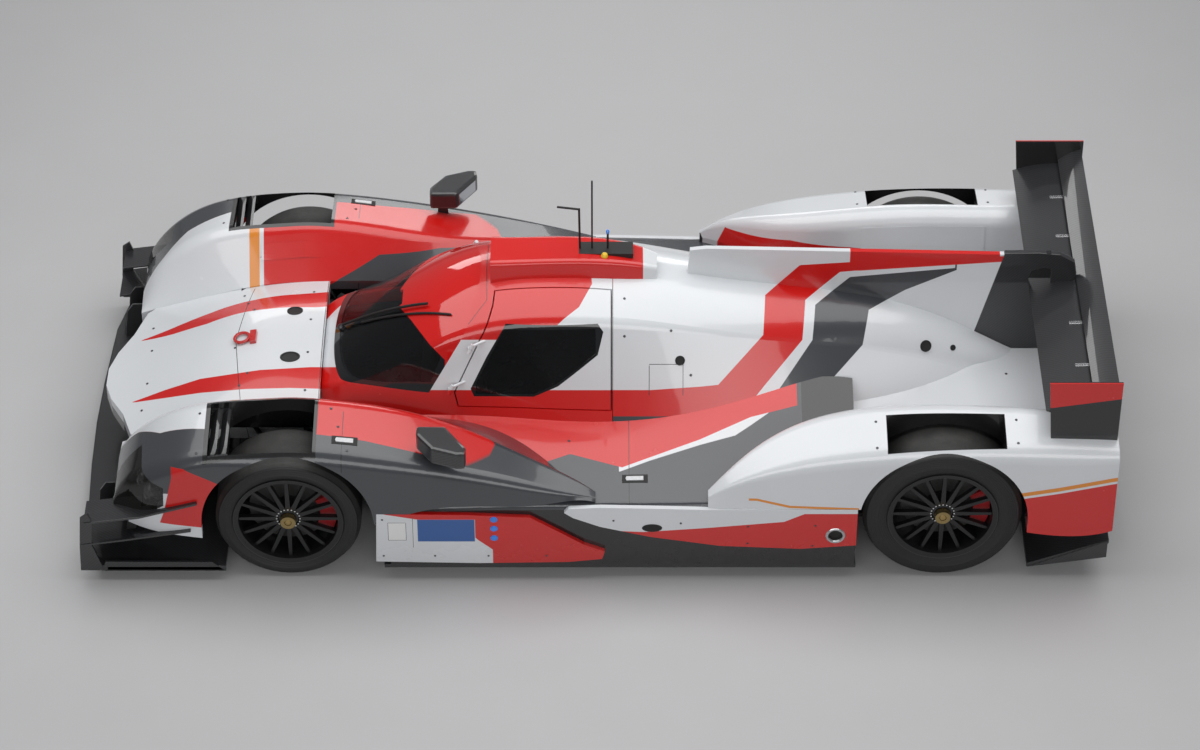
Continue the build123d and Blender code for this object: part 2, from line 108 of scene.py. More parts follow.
def mix_color(tree, mask, under, over):
    """Colour under where mask is 0, over where it is 1."""
    node = tree.nodes.new("ShaderNodeMix")
    node.data_type = "RGBA"
    for socket, value in ((node.inputs[0], mask), (node.inputs[6], under), (node.inputs[7], over)):
        put(tree, socket, value)
    return node.outputs[2]


def noise(tree, vector, scale, detail=2.0, stretch=None):
    """A Noise texture's value, on coordinates stretched if asked."""
    if stretch:
        mapping = tree.nodes.new("ShaderNodeMapping")
        feed(tree, mapping, Vector=vector, Scale=stretch)
        vector = mapping.outputs[0]
    node = tree.nodes.new("ShaderNodeTexNoise")
    feed(tree, node, Vector=vector, Scale=scale, Detail=detail)
    return node.outputs["Fac"]


def bump(tree, height, distance, strength=1.0):
    """A normal tilted by a height, of which 1 stands for distance in metres."""
    node = tree.nodes.new("ShaderNodeBump")
    feed(tree, node, Strength=strength, Distance=distance, Height=height)
    return node.outputs[0]


def new_material(name):
    """A fresh material with its tree and its Principled BSDF."""
    mat = bpy.data.materials.new(name)
    mat.use_nodes = True
    return mat, mat.node_tree, mat.node_tree.nodes["Principled BSDF"]


def new_group(name, inputs, outputs):
    """An empty shader node group with named float, colour or vector sockets."""
    group = bpy.data.node_groups.new(name, "ShaderNodeTree")
    kinds = {"f": "NodeSocketFloat", "c": "NodeSocketColor", "v": "NodeSocketVector"}
    for side_name, table in (("INPUT", inputs), ("OUTPUT", outputs)):
        for label, kind in table:
            group.interface.new_socket(label, in_out=side_name, socket_type=kinds[kind])
    return group, group.nodes.new("NodeGroupInput"), group.nodes.new("NodeGroupOutput")


# %% [markdown]
# ## Body coordinates
# The livery runs over many panels and is the same on both sides. A picture wrapped on the car would need unwrapped
# panels and would blur at their seams, so the colours are drawn on coordinates instead: X, the distance from the
# middle, Z, and an oblique height that runs from the roof's middle down to the flank, which is how the camera sees
# them. Outward is positive on walls that face away from the middle, and it tells a wheel well's walls from the skin.

# %% Body coordinates
OBLIQUE_SIDE, OBLIQUE_HEIGHT = 0.636, 0.772

body_group, _, group_out = new_group(
    "body_coordinates", [],
    [("X", "f"), ("Side", "f"), ("Z", "f"), ("Oblique", "f"), ("Outward", "f"), ("Place", "v")],
)
place = body_group.nodes.new("ShaderNodeTexCoord").outputs["Object"]
split = body_group.nodes.new("ShaderNodeSeparateXYZ")
body_group.links.new(place, split.inputs[0])
off_middle = calc(body_group, "ABSOLUTE", split.outputs["Y"])
sideways = calc(body_group, "MULTIPLY", off_middle, OBLIQUE_SIDE)
upwards = calc(body_group, "MULTIPLY", split.outputs["Z"], OBLIQUE_HEIGHT)
facing_xyz = body_group.nodes.new("ShaderNodeSeparateXYZ")
body_group.links.new(body_group.nodes.new("ShaderNodeTexCoord").outputs["Normal"], facing_xyz.inputs[0])
coordinates = {
    "Outward": calc(body_group, "MULTIPLY", facing_xyz.outputs["Y"], calc(body_group, "SIGN", split.outputs["Y"])),
    "X": split.outputs["X"],
    "Side": off_middle,
    "Z": split.outputs["Z"],
    "Oblique": calc(body_group, "SUBTRACT", sideways, upwards),
    "Place": place,
}
feed(body_group, group_out, **coordinates)
print("coordinates", list(coordinates))

# %% [markdown]
# ### Paint surface
# Real gloss paint is never one flat colour: its tone drifts, metallic flecks sparkle in it, road dust gathers low down
# and the lacquer has a faint orange peel. All the paints share these, so they are one group that takes a colour and
# gives it back with its roughness and normal.

# %% Paint surface
FLECK_SCALE, PEEL_SCALE = 900.0, 130.0
DUST_COLOR, SEAM_COLOR = (0.16, 0.14, 0.125), (0.008, 0.008, 0.009)
DUST_SHARE, DUST_FALL, DUST_TOP = 0.14, -5.0, 1.4

surface_group, group_in, group_out = new_group(
    "paint_surface",
    [("Color", "c"), ("Place", "v"), ("Z", "f"), ("Seam", "f")],
    [("Color", "c"), ("Roughness", "f"), ("Normal", "v")],
)
tree, where, seam = surface_group, group_in.outputs["Place"], group_in.outputs["Seam"]
tone = calc(tree, "MULTIPLY_ADD", noise(tree, where, 2.2, 3.0), 0.10, 0.95)
flecks = calc(tree, "MULTIPLY_ADD", noise(tree, where, FLECK_SCALE, 0.0), 0.10, 0.95)
toned = tree.nodes.new("ShaderNodeVectorMath")
toned.operation = "SCALE"
feed(tree, toned, Vector=group_in.outputs["Color"], Scale=calc(tree, "MULTIPLY", tone, flecks))
low = calc(tree, "MULTIPLY_ADD", group_in.outputs["Z"], DUST_FALL, DUST_TOP, clamp=True)
dust = calc(tree, "MULTIPLY", low, calc(tree, "MULTIPLY", noise(tree, where, 26.0, 4.0), DUST_SHARE))
dusty = mix_color(tree, dust, toned.outputs[0], DUST_COLOR)
gloss = calc(tree, "MULTIPLY_ADD", noise(tree, where, 9.0, 3.0), 0.10, 0.20)
peel = calc(tree, "MULTIPLY_ADD", noise(tree, where, PEEL_SCALE, 1.0), 0.12, calc(tree, "MULTIPLY", seam, -1.0))
feed(
    tree, group_out, Color=mix_color(tree, seam, dusty, SEAM_COLOR),
    Roughness=calc(tree, "MULTIPLY_ADD", dust, 0.6, gloss), Normal=bump(tree, peel, 0.0012, 0.35),
)
print("paint surface with", len(tree.nodes), "nodes")

# %% [markdown]
# ### Carbon weave
# Bare carbon is a 2x2 twill: each tow passes over two others and under two, one step further in every row. Counting the
# tows both ways and taking the sum modulo four gives that staircase without any image.

# %% Carbon weave
TOW = 0.004
DARK_TOW, LIGHT_TOW = (0.010, 0.010, 0.011), (0.030, 0.031, 0.034)

weave_group, group_in, group_out = new_group(
    "carbon_weave", [("Place", "v")], [("Color", "c"), ("Roughness", "f"), ("Normal", "v")]
)
tree = weave_group
parts = tree.nodes.new("ShaderNodeSeparateXYZ")
tree.links.new(group_in.outputs["Place"], parts.inputs[0])
warp = calc(tree, "FLOOR", calc(tree, "DIVIDE", parts.outputs["X"], TOW))
across_tows = calc(tree, "ADD", parts.outputs["Y"], parts.outputs["Z"])
weft = calc(tree, "FLOOR", calc(tree, "DIVIDE", across_tows, TOW))
staircase = calc(tree, "FLOORED_MODULO", calc(tree, "ADD", warp, weft), 4.0)
twill = calc(tree, "LESS_THAN", staircase, 2.0)
wave = calc(tree, "SINE", calc(tree, "MULTIPLY", parts.outputs["X"], math.pi / TOW))
crown = calc(tree, "ABSOLUTE", wave)
shade = calc(tree, "MULTIPLY_ADD", twill, 0.55, calc(tree, "MULTIPLY", crown, 0.3))
feed(
    tree, group_out, Color=mix_color(tree, shade, DARK_TOW, LIGHT_TOW),
    Roughness=calc(tree, "MULTIPLY_ADD", shade, -0.10, 0.38), Normal=bump(tree, shade, 0.0002, 0.25),
)
print("groups", [g.name for g in bpy.data.node_groups])

# %% [markdown]
# ## Livery
# A painter masks the car along tapes and sprays one colour over another. `Paint` works the same way: it starts from one
# colour and lays further colours over it, each inside limits given as short tables. `past` is the side with more of the
# first coordinate, at the value that the curve has at the second. Edges stay sharp at any distance, and moving a stripe
# is a change of two numbers.


# %% Paint class
EDGE = 0.0022


class Paint:
    """A gloss paint whose colours are laid over each other on body coordinates."""

    def __init__(self, name, color, coat=0.6):
        self.mat, self.tree, self.bsdf = new_material(name)
        group = self.tree.nodes.new("ShaderNodeGroup")
        group.node_tree = body_group
        self.at = group.outputs
        self.color = color
        self.seam = 0.0
        feed(self.tree, self.bsdf, Coat_Weight=coat, Coat_Roughness=0.04)

    def curve(self, along, points):
        """The value of a line through points (along, value), straight between them and level past the ends."""
        points = sorted(points)
        a0, a1 = points[0][0], points[-1][0]
        v0, v1 = min(v for a, v in points), max(v for a, v in points)
        if v1 - v0 < 1e-6:
            return v0
        node = self.tree.nodes.new("ShaderNodeFloatCurve")
        line = node.mapping.curves[0]
        scaled = [((a - a0) / (a1 - a0), (v - v0) / (v1 - v0)) for a, v in points]
        line.points[0].location, line.points[1].location = scaled[0], scaled[-1]
        for spot in scaled[1:-1]:
            line.points.new(*spot)
        for point in line.points:
            point.handle_type = "VECTOR"
        node.mapping.update()
        share = calc(self.tree, "DIVIDE", calc(self.tree, "SUBTRACT", self.at[along], a0), a1 - a0, clamp=True)
        put(self.tree, node.inputs["Value"], share)
        return calc(self.tree, "MULTIPLY_ADD", node.outputs[0], v1 - v0, v0)

    def past(self, what, limit, along=None):
        """1 where coordinate what is more than limit: a number, or a curve along another coordinate."""
        if along:
            limit = self.curve(along, limit)
        gap = calc(self.tree, "SUBTRACT", self.at[what], limit)
        return calc(self.tree, "MULTIPLY_ADD", gap, 1 / EDGE, 0.5, clamp=True)

    def short(self, what, limit, along=None):
        """1 where coordinate what is less than limit."""
        return calc(self.tree, "SUBTRACT", 1.0, self.past(what, limit, along))

    def all(self, *masks):
        """1 where every mask is 1."""
        result = masks[0]
        for mask in masks[1:]:
            result = calc(self.tree, "MINIMUM", result, mask)
        return result

    def either(self, *masks):
        """1 where any mask is 1."""
        result = masks[0]
        for mask in masks[1:]:
            result = calc(self.tree, "MAXIMUM", result, mask)
        return result

    def box(self, **limits):
        """1 inside the given ranges, such as box(X=(0, 1), Z=(0.2, 0.3))."""
        return self.all(*[m for what, (lo, hi) in limits.items() for m in (self.past(what, lo), self.short(what, hi))])

    def lay(self, color, *masks):
        """Lays a colour over the paint where every mask is 1."""
        self.color = mix_color(self.tree, self.all(*masks), self.color, color)

    def groove(self, what, limit, along=None, width=0.003, **limits):
        """A dark panel gap along a line, within the given ranges."""
        if along:
            limit = self.curve(along, limit)
        gap = calc(self.tree, "ABSOLUTE", calc(self.tree, "SUBTRACT", self.at[what], limit))
        mask = calc(self.tree, "LESS_THAN", gap, width / 2)
        if limits:
            mask = self.all(mask, self.box(**limits))
        self.seam = mask if self.seam == 0.0 else self.either(self.seam, mask)

    def wheel_well(self, x, z, radius, wall):
        """Black inside a wheel well: its round roof, and the wall that faces outwards."""
        steps = [k / 8 for k in range(-8, 9)]
        arch = self.short("Z", [(x + radius * t, z + radius * math.sqrt(1 - t * t)) for t in steps], "X")
        reach = self.all(self.past("X", x - radius), self.short("X", x + radius))
        inside = self.all(self.short("Side", 0.955), self.past("Side", wall - 0.02))
        self.lay(BLACK, reach, arch, inside, self.past("Outward", -0.5))

    def finish(self):
        """Adds the shared surface detail and gives back the material."""
        group = self.tree.nodes.new("ShaderNodeGroup")
        group.node_tree = surface_group
        feed(self.tree, group, Color=self.color, Seam=self.seam, Place=self.at["Place"], Z=self.at["Z"])
        out = group.outputs
        feed(self.tree, self.bsdf, Base_Color=out["Color"], Roughness=out["Roughness"], Normal=out["Normal"])
        return self.mat


def dress(mat, *names):
    """Gives the CAD nodes this material."""
    for name in names:
        nodes[name].data.materials.clear()
        nodes[name].data.materials.append(mat)


def both_sides(name):
    """The names of a left and a right node."""
    return name + "_left", name + "_right"


WHITE = (0.68, 0.70, 0.72)
RED = (0.60, 0.010, 0.008)
CHARCOAL = (0.050, 0.054, 0.060)
ORANGE = (0.72, 0.25, 0.025)
BLACK = (0.010, 0.010, 0.011)
PLATE_BLUE = (0.02, 0.10, 0.34)
print("paint colours ready")

# %% [markdown]
# ### Canopy, doors and engine cover
# Red runs along the foot of the doors, climbs the cover as a band and ends as a stripe on the fin. A white pinstripe
# and a charcoal band follow it, and the roof is red back to an arc behind the scoop. Where a line crosses from panel
# to panel, one table serves them all, so that it meets itself at the gaps without being matched by hand.

# %% Canopy and cover
FOOT_LINE = [(-0.60, -0.250), (-0.50, -0.240), (-0.27, -0.224), (0.62, -0.224)]
ROOF_ARC = [(-0.86, 0.010), (-0.703, -0.004), (-0.598, 0.054), (-0.544, 0.122), (-0.47, 0.20)]
BAND_FRONT = [
    (-0.804, -1.173), (-0.791, -0.947), (-0.655, -0.790), (-0.473, -0.778), (-0.247, -0.574), (-0.156, -0.492),
]
BAND_REAR = [(-0.822, -1.852), (-0.760, -1.130), (-0.633, -0.973), (-0.451, -0.957), (-0.247, -0.787), (-0.133, -0.696)]
DARK_FRONT = [(-0.778, -1.652), (-0.738, -1.177), (-0.611, -1.018), (-0.451, -1.003), (-0.201, -0.833), (-0.10, -0.75)]
DARK_REAR = [(-0.769, -1.66), (-0.680, -1.431), (-0.589, -1.264), (-0.429, -1.234), (-0.188, -1.015), (-0.10, -0.92)]
FIN_TOP_LINE = [(-1.876, -0.831), (-1.219, -0.800)]
FIN_LOW_LINE = [(-1.876, -0.806), (-1.221, -0.766)]


def canopy_paint(name):
    """Red with the white that the roof, the doors and the cell share."""
    paint = Paint(name, RED)
    paint.lay(WHITE, paint.short("X", ROOF_ARC, "Oblique"), paint.short("Oblique", -0.224))
    paint.lay(WHITE, paint.short("X", 0.74), paint.past("Oblique", -0.45), paint.short("Oblique", -0.224))
    return paint


cell = canopy_paint("cell_paint")
cell.lay(WHITE, cell.past("X", 1.0), cell.short("Oblique", -0.328))
cell.lay(CHARCOAL, cell.short("Z", 0.50))
cell.lay(BLACK, cell.short("Z", 0.385))
cell.groove("X", [(-0.85, 0.475), (-0.63, 0.470), (-0.43, 0.62)], "Oblique", Oblique=(-0.85, -0.43))
dress(cell.finish(), "cockpit_cell")

door = canopy_paint("door_paint")
dress(door.finish(), *both_sides("door"))

cover = Paint("cover_paint", WHITE)
cover.lay(RED, cover.past("Oblique", FOOT_LINE, "X"), cover.past("X", -0.60))
cover.lay(CHARCOAL, cover.short("X", DARK_FRONT, "Oblique"), cover.past("X", DARK_REAR, "Oblique"))
cover.lay(RED, cover.short("X", BAND_FRONT, "Oblique"), cover.past("X", BAND_REAR, "Oblique"))
fin_stripe = cover.all(cover.past("Oblique", FIN_TOP_LINE, "X"), cover.short("Oblique", FIN_LOW_LINE, "X"))
cover.lay(RED, cover.short("X", -1.15), fin_stripe)
cover.lay(CHARCOAL, cover.past("Oblique", -0.105))
behind_neck = cover.short("X", [(0.574, -1.742), (1.101, -1.873)], "Z")
cover.lay(BLACK, cover.short("Side", 0.0135), behind_neck, cover.past("Z", 0.50))
cover.groove("X", -0.262, Oblique=(-0.335, -0.20))
cover.groove("X", -0.415, Oblique=(-0.355, -0.20))
cover.groove("Oblique", -0.340, X=(-0.415, -0.262))
dress(cover.finish(), "engine_cover")

scoop = Paint("scoop_paint", RED)
scoop.lay(BLACK, scoop.box(X=(0.13, 0.4545), Side=(-1.0, 0.079), Z=(1.05, 1.0995)))
scoop.lay(WHITE, scoop.short("X", -0.235))
dress(scoop.finish(), "roof_scoop")
print("canopy dressed")

# %% [markdown]
# ### Nose and fenders
# The nose is white with two red stripes that widen towards the windscreen. The fenders' inner faces go from white over
# an orange stripe to red, and their outer faces are charcoal with a red corner ahead of the wheel. The crest line is
# where inner face turns to outer face; it wanders along the fender, so it is a table of X and distance from the middle.

# %% Nose and fenders
STRIPE_IN = [(0.97, -0.328), (1.284, -0.328), (1.513, -0.315), (1.794, -0.274), (1.958, -0.223), (2.11, -0.168)]
STRIPE_OUT = [(0.97, -0.224), (1.189, -0.228), (1.369, -0.233), (1.576, -0.228), (1.787, -0.210), (2.097, -0.166)]
nose = Paint("nose_paint", WHITE)
nose.lay(RED, nose.past("Oblique", STRIPE_IN, "X"), nose.short("Oblique", STRIPE_OUT, "X"), nose.short("X", 2.11))
nose.lay(BLACK, nose.short("Z", 0.335))
nose.groove("X", [(-0.45, 1.640), (0.0, 1.565)], "Oblique", Side=(-1.0, 0.45))
nose.groove("X", 1.236)
dress(nose.finish(), "nose")

CREST = [
    (0.0, 0.955), (0.402, 0.950), (0.571, 0.916), (0.778, 0.889), (0.998, 0.863), (1.227, 0.853), (1.70, 0.800),
    (1.92, 0.740), (2.03, 0.640), (2.11, 0.60),
]
INNER_LOW = [(0.45, 0.60), (0.72, 0.645), (1.0, 0.655), (1.19, 0.575), (1.30, 0.50)]
FLANK_SPLIT = [(0.30, 1.930), (0.327, 1.924), (0.393, 1.901), (0.593, 1.854)]
fender = Paint("fender_paint", CHARCOAL)
inside = fender.short("Side", CREST, "X")
fender.lay(RED, inside, fender.past("Z", INNER_LOW, "X"), fender.past("X", 0.42))
fender.lay(WHITE, inside, fender.past("X", 1.545))
fender.lay(ORANGE, inside, fender.past("X", 1.565), fender.short("X", 1.613))
ahead = fender.all(fender.past("X", 1.60), fender.past("Side", 0.925))
under_lamp = fender.short("Z", [(1.60, 0.540), (1.665, 0.572), (1.80, 0.640)], "X")
fender.lay(RED, ahead, fender.short("X", FLANK_SPLIT, "Z"), under_lamp)
fender.lay(WHITE, ahead, fender.past("X", FLANK_SPLIT, "Z"), fender.short("Z", 0.50))
fender.lay(WHITE, ahead, fender.short("Z", [(1.66, 0.300), (1.94, 0.332)], "X"))
# Painted shade: the walls of the opening in the fender's top are painted black, so that it looks dark inside.
fender.lay(BLACK, fender.box(X=(1.212, 1.712), Side=(0.632, 0.972), Z=(0.60, 0.90)))
fender.wheel_well(1.352, 0.325, 0.392, 0.545)
fender.groove("X", 1.100, Oblique=(-0.13, 0.14))
fender_paint = fender.finish()
dress(fender_paint, *both_sides("front_fender"))

ORANGE_LINE = [(-2.325, 0.597), (-2.299, 0.592), (-2.073, 0.539), (-1.90, 0.506)]
FOOT_ORANGE = [(-1.25, 0.432), (-0.883, 0.446), (-0.736, 0.484)]
INNER_RED = [(-2.30, 0.50), (-1.70, 0.58), (-1.223, 0.630), (-0.943, 0.634), (-0.649, 0.580)]
INNER_EDGE = [(-2.30, 0.70), (-1.80, 0.66), (-1.0, 0.72), (-0.645, 0.87)]


def shifted(line, rise):
    """The line moved up."""
    return [(along, value + rise) for along, value in line]


rear = Paint("rear_fender_paint", WHITE)
rear.lay(RED, rear.short("Side", INNER_EDGE, "X"), rear.short("Z", INNER_RED, "X"))
quarter = rear.all(rear.short("X", -1.895), rear.past("Side", 0.93))
rear.lay(RED, quarter, rear.short("Z", shifted(ORANGE_LINE, -0.024), "X"))
over_line, under_line = shifted(ORANGE_LINE, 0.011), shifted(ORANGE_LINE, -0.011)
rear.lay(ORANGE, quarter, rear.short("Z", over_line, "X"), rear.past("Z", under_line, "X"))
foot = rear.box(X=(-1.19, -0.70), Side=(0.95, 1.2))
rear.lay(ORANGE, foot, rear.short("Z", FOOT_ORANGE, "X"), rear.past("Z", shifted(FOOT_ORANGE, -0.013), "X"))
rear.lay(BLACK, rear.past("X", [(0.72, -0.668), (0.75, -0.655), (0.93, -0.528), (0.99, -0.49)], "Side"))
rear.wheel_well(-1.568, 0.355, 0.383, 0.642)
# Painted shade: the walls of the opening in the rear fender's top are painted black, so that it looks dark inside.
shaded_opening = rear.box(X=(-1.8305, -1.3055), Side=(0.7685, 1.0), Z=(0.50, 0.90))
rear.lay(BLACK, shaded_opening, rear.short("Side", [(-1.829, 0.9565), (-1.307, 0.9665)], "X"))
rear.lay(BLACK, rear.short("X", -2.258), rear.box(Side=(0.70, 0.965), Z=(0.30, 0.66)))
rear_paint = rear.finish()
dress(rear_paint, *both_sides("rear_fender"))
print("nose and fenders dressed")

# %% [markdown]
# ### Sidepods and flank panels
# The sidepods are charcoal with a red field and a white pinstripe. The flank panels carry two blank plates: a blue
# field, and a small white one inside a dark outline. The outline is four grooves, which are thin lines of the seam
# colour with a dip in the bump, like the panel gaps.

# %% Sidepods and flanks
PLATE_WHITE = (0.80, 0.80, 0.79)
POD_RED = [
    (-0.95, -0.16), (-0.719, -0.102), (-0.49, -0.002), (-0.139, 0.122), (0.095, 0.063), (0.287, 0.125),
    (0.62, -0.052),
]
POD_LINE = [(-0.85, -0.155), (-0.718, -0.065), (-0.648, -0.020), (-0.49, 0.022), (-0.264, 0.092), (-0.130, 0.140)]
pod = Paint("sidepod_paint", CHARCOAL)
top_face = pod.past("Z", 0.43)
pod.lay(WHITE, top_face, pod.short("Oblique", POD_LINE, "X"), pod.box(X=(-0.80, -0.125), Z=(0.0, 1.0)))
pod.lay(RED, top_face, pod.short("Oblique", POD_RED, "X"), pod.past("X", -0.93))
# Painted shade: below Z 0.405 the sidepod's face shows only through the gaps around the flank panels, and it is painted
# black there as a dark recess. The pod behind X -0.95 is black too.
pod.lay(BLACK, pod.either(pod.short("Z", 0.405), pod.short("X", -0.95)))
pod.groove("X", -0.17, Z=(0.43, 0.60))
dress(pod.finish(), "sidepods")

BLADE_SPLIT = [(-0.95, 0.40), (-0.859, 0.353), (-0.517, 0.317), (-0.236, 0.293), (-0.040, 0.303), (0.12, 0.33)]
flank = Paint("flank_paint", RED)
blade_root = flank.past("Z", [(-1.2, 0.0), (-0.30, 0.0), (-0.10, 0.25), (0.15, 0.40), (0.30, 0.45)], "X")
flank.lay(WHITE, blade_root, flank.short("X", 0.16), flank.past("Z", BLADE_SPLIT, "X"))
white_rear = flank.past("X", [(0.10, 0.37), (0.191, 0.444), (0.245, 0.505), (0.26, 0.517)], "Z")
white_top = flank.short("Z", [(0.52, 0.366), (0.77, 0.366), (0.90, 0.392), (0.97, 0.405)], "X")
flank.lay(WHITE, flank.past("X", 0.44), white_rear, white_top)
flank.lay(PLATE_BLUE, flank.box(X=(0.519, 0.774), Z=(0.236, 0.366)))
flank.lay(PLATE_WHITE, flank.box(X=(0.827, 0.904), Z=(0.245, 0.345)))
for x in (0.8255, 0.9055):
    flank.groove("X", x, Z=(0.2435, 0.3465), width=0.002)
for z in (0.2435, 0.3465):
    flank.groove("Z", z, X=(0.8255, 0.9055), width=0.002)
flank.groove("X", 0.795, Z=(0.20, 0.375), width=0.002)
flank_paint = flank.finish()

ENDPLATE_LINE = [(-2.32, 0.983), (-2.289, 0.978), (-2.021, 0.933)]
plates = Paint("endplate_paint", BLACK)
plates.lay(RED, plates.past("Z", ENDPLATE_LINE, "X"), plates.past("Side", 0.894))
dress(plates.finish(), "wing_endplates")
print("flanks dressed")

# %% [markdown]
# ## Carbon, metal, rubber and plastic
# The parts that aren't painted each have one material, but none of them is perfectly even: castings are grainy, turned
# steel has fine lines along it, and a worn plank shows its layers. One function makes them all from a colour, a
# roughness and a noise that is stretched where the grain has a direction.

# %% Other finishes
def grouped(name, group, **constants):
    """A material whose colour, roughness and normal come from a group on Object coordinates."""
    mat, tree, bsdf = new_material(name)
    node = tree.nodes.new("ShaderNodeGroup")
    node.node_tree = group
    feed(tree, node, Place=tree.nodes.new("ShaderNodeTexCoord").outputs["Object"])
    out = node.outputs
    feed(tree, bsdf, Base_Color=out["Color"], Roughness=out["Roughness"], Normal=out["Normal"], **constants)
    return mat


def speckled(name, color, roughness, metallic=0.0, coat=0.0, scale=60.0, depth=0.0004, spread=0.25, stretch=None):
    """A plain material with fine variation in tone and gloss, and a light bump."""
    mat, tree, bsdf = new_material(name)
    where = tree.nodes.new("ShaderNodeTexCoord").outputs["Object"]
    grain = noise(tree, where, scale, 4.0, stretch)
    darker = tuple(c * (1 - spread) for c in color)
    lighter = tuple(c * (1 + spread) for c in color)
    feed(
        tree, bsdf, Base_Color=mix_color(tree, grain, darker, lighter), Metallic=metallic, Coat_Weight=coat,
        Roughness=calc(tree, "MULTIPLY_ADD", grain, 0.2, roughness - 0.1), Normal=bump(tree, grain, depth, 0.4),
    )
    return mat


carbon = grouped("carbon", weave_group, Coat_Weight=0.8)
plank = speckled("plank", (0.10, 0.075, 0.05), 0.7, scale=12, stretch=(1, 14, 14))
cast_alloy = speckled("cast_alloy", (0.22, 0.22, 0.23), 0.45, 1.0, scale=220)
steel = speckled("steel", (0.10, 0.10, 0.105), 0.4, 1.0, scale=90, stretch=(1, 12, 12))
grip = speckled("grip", (0.012, 0.012, 0.012), 0.75, scale=500, depth=0.0006)
matt_black = speckled("matt_black", (0.010, 0.010, 0.010), 0.6, scale=300)
white_plastic = speckled("white_plastic", (0.62, 0.63, 0.64), 0.4, scale=80)
bright_metal = speckled("bright_metal", (0.55, 0.55, 0.56), 0.25, 1.0, scale=140, stretch=(1, 8, 8))
bronze = speckled("bronze", (0.42, 0.30, 0.12), 0.32, 1.0, scale=120)
blue_light = speckled("blue_light", (0.02, 0.22, 0.80), 0.15, coat=1.0, scale=40)
yellow_knob = speckled("yellow_knob", (0.75, 0.50, 0.03), 0.35, scale=60)
soot = speckled("soot", (0.018, 0.017, 0.016), 0.8, scale=35)

red_glass = speckled("red_glass", (0.42, 0.008, 0.008), 0.12, coat=1.0, scale=400, stretch=(1, 1, 20))
print("plain finishes ready")

# %% [markdown]
# ### Glass
# The screen and the side windows are tinted plastic with an opaque black border, and the cabin shows through dimly.
# Transmission would be truer for thick glass, but these are thin sheets, so their Alpha is lowered inside a mask. The
# border then stays opaque, and the clear coat on top keeps the full reflection.


# %% Dark glass
def glass(name, tint, clear, clear_mask):
    """Dark glass: more or less opaque by a mask, with a clear coat."""
    paint = Paint(name, tint)
    mask = clear_mask(paint)
    streak = noise(paint.tree, paint.at["Place"], 6.0, 3.0, (1, 3, 1))
    see = calc(paint.tree, "MULTIPLY", mask, calc(paint.tree, "MULTIPLY_ADD", streak, 0.10, clear))
    feed(
        paint.tree, paint.bsdf, Base_Color=paint.color, Alpha=calc(paint.tree, "SUBTRACT", 1.0, see),
        Roughness=calc(paint.tree, "MULTIPLY_ADD", streak, 0.04, 0.03),
    )
    return paint.mat


SCREEN_TOP = [(-0.62, 0.862), (-0.605, 0.877), (-0.541, 0.817), (-0.427, 0.726), (-0.36, 0.66)]
SCREEN_FOOT = [(0.612, 0.745), (0.84, 0.655), (1.0, 0.5)]
WINDOW_FOOT = [(-0.02, 0.80), (0.155, 0.672), (0.262, 0.622), (0.52, 0.617)]
WINDOW_TOP = [(0.385, 0.925), (0.455, 0.79), (0.53, 0.645)]
GLASS_TINT, LAMP_TINT = (0.008, 0.009, 0.010), (0.010, 0.009, 0.007)


def screen_mask(paint):
    """The clear field of the windscreen, under its red top band."""
    paint.lay(RED, paint.short("X", SCREEN_TOP, "Oblique"))
    above_foot = paint.all(paint.past("Z", 0.632), paint.past("X", SCREEN_FOOT, "Z"))
    return paint.all(above_foot, paint.short("Oblique", -0.262), paint.past("X", SCREEN_TOP, "Oblique"))


def window_mask(paint):
    """The clear field of a door window."""
    frame_box = paint.box(X=(-0.02, 0.52), Z=(0.60, 0.915))
    return paint.all(frame_box, paint.past("Z", WINDOW_FOOT, "X"), paint.short("Z", WINDOW_TOP, "X"))


def lamp_mask(paint):
    """The whole lamp cover, which ends well behind this X."""
    return paint.short("X", 2.6)


dress(glass("windscreen_glass", GLASS_TINT, 0.62, screen_mask), "windscreen")
dress(glass("window_glass", GLASS_TINT, 0.62, window_mask), *both_sides("door_window"))
dress(glass("headlamp_glass", LAMP_TINT, 0.26, lamp_mask), "headlamps")
dress(red_glass, "tail_lamps")
dress(carbon, "rear_diffuser", "rear_wing", "fender_louvres", "dashboard", "seat", "floor")
dress(plank, "skid_block")
dress(matt_black, "aerials")
dress(cast_alloy, "gearbox", "engine")
dress(steel, "front_suspension", "rear_suspension")
dress(grip, "steering_wheel")
print("glass, carbon and metal parts dressed")

# %% [markdown]
# ### Wheels
# Tyres, rims and discs are turned parts, so what changes on them changes with the distance from the axle: a worn tread,
# moulded rings on the sidewall, a machined lip, a bronze nut and a dull carbon brake disc. Separate meshes for these
# would do as well, but one material on that distance keeps each wheel whole and follows the wheel when it turns.


# %% Wheel finishes
def axle_of(name):
    """The X and Z of the middle of a round node."""
    low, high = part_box(name)
    return (low[0] + high[0]) / 2, (low[2] + high[2]) / 2


def round_material(name, axle, build):
    """A material with the distance from an axle and the distance from the car's middle as its coordinates."""
    mat, tree, bsdf = new_material(name)
    where = tree.nodes.new("ShaderNodeTexCoord").outputs["Object"]
    xyz = tree.nodes.new("ShaderNodeSeparateXYZ")
    tree.links.new(where, xyz.inputs[0])
    dx = calc(tree, "SUBTRACT", xyz.outputs["X"], axle[0])
    dz = calc(tree, "SUBTRACT", xyz.outputs["Z"], axle[1])
    squares = calc(tree, "ADD", calc(tree, "POWER", dx, 2.0), calc(tree, "POWER", dz, 2.0))
    build(tree, bsdf, where, calc(tree, "SQRT", squares), calc(tree, "ABSOLUTE", xyz.outputs["Y"]))
    return mat


def ring(tree, value, low, high):
    """1 where value lies between low and high."""
    return calc(tree, "MULTIPLY", calc(tree, "GREATER_THAN", value, low), calc(tree, "LESS_THAN", value, high))


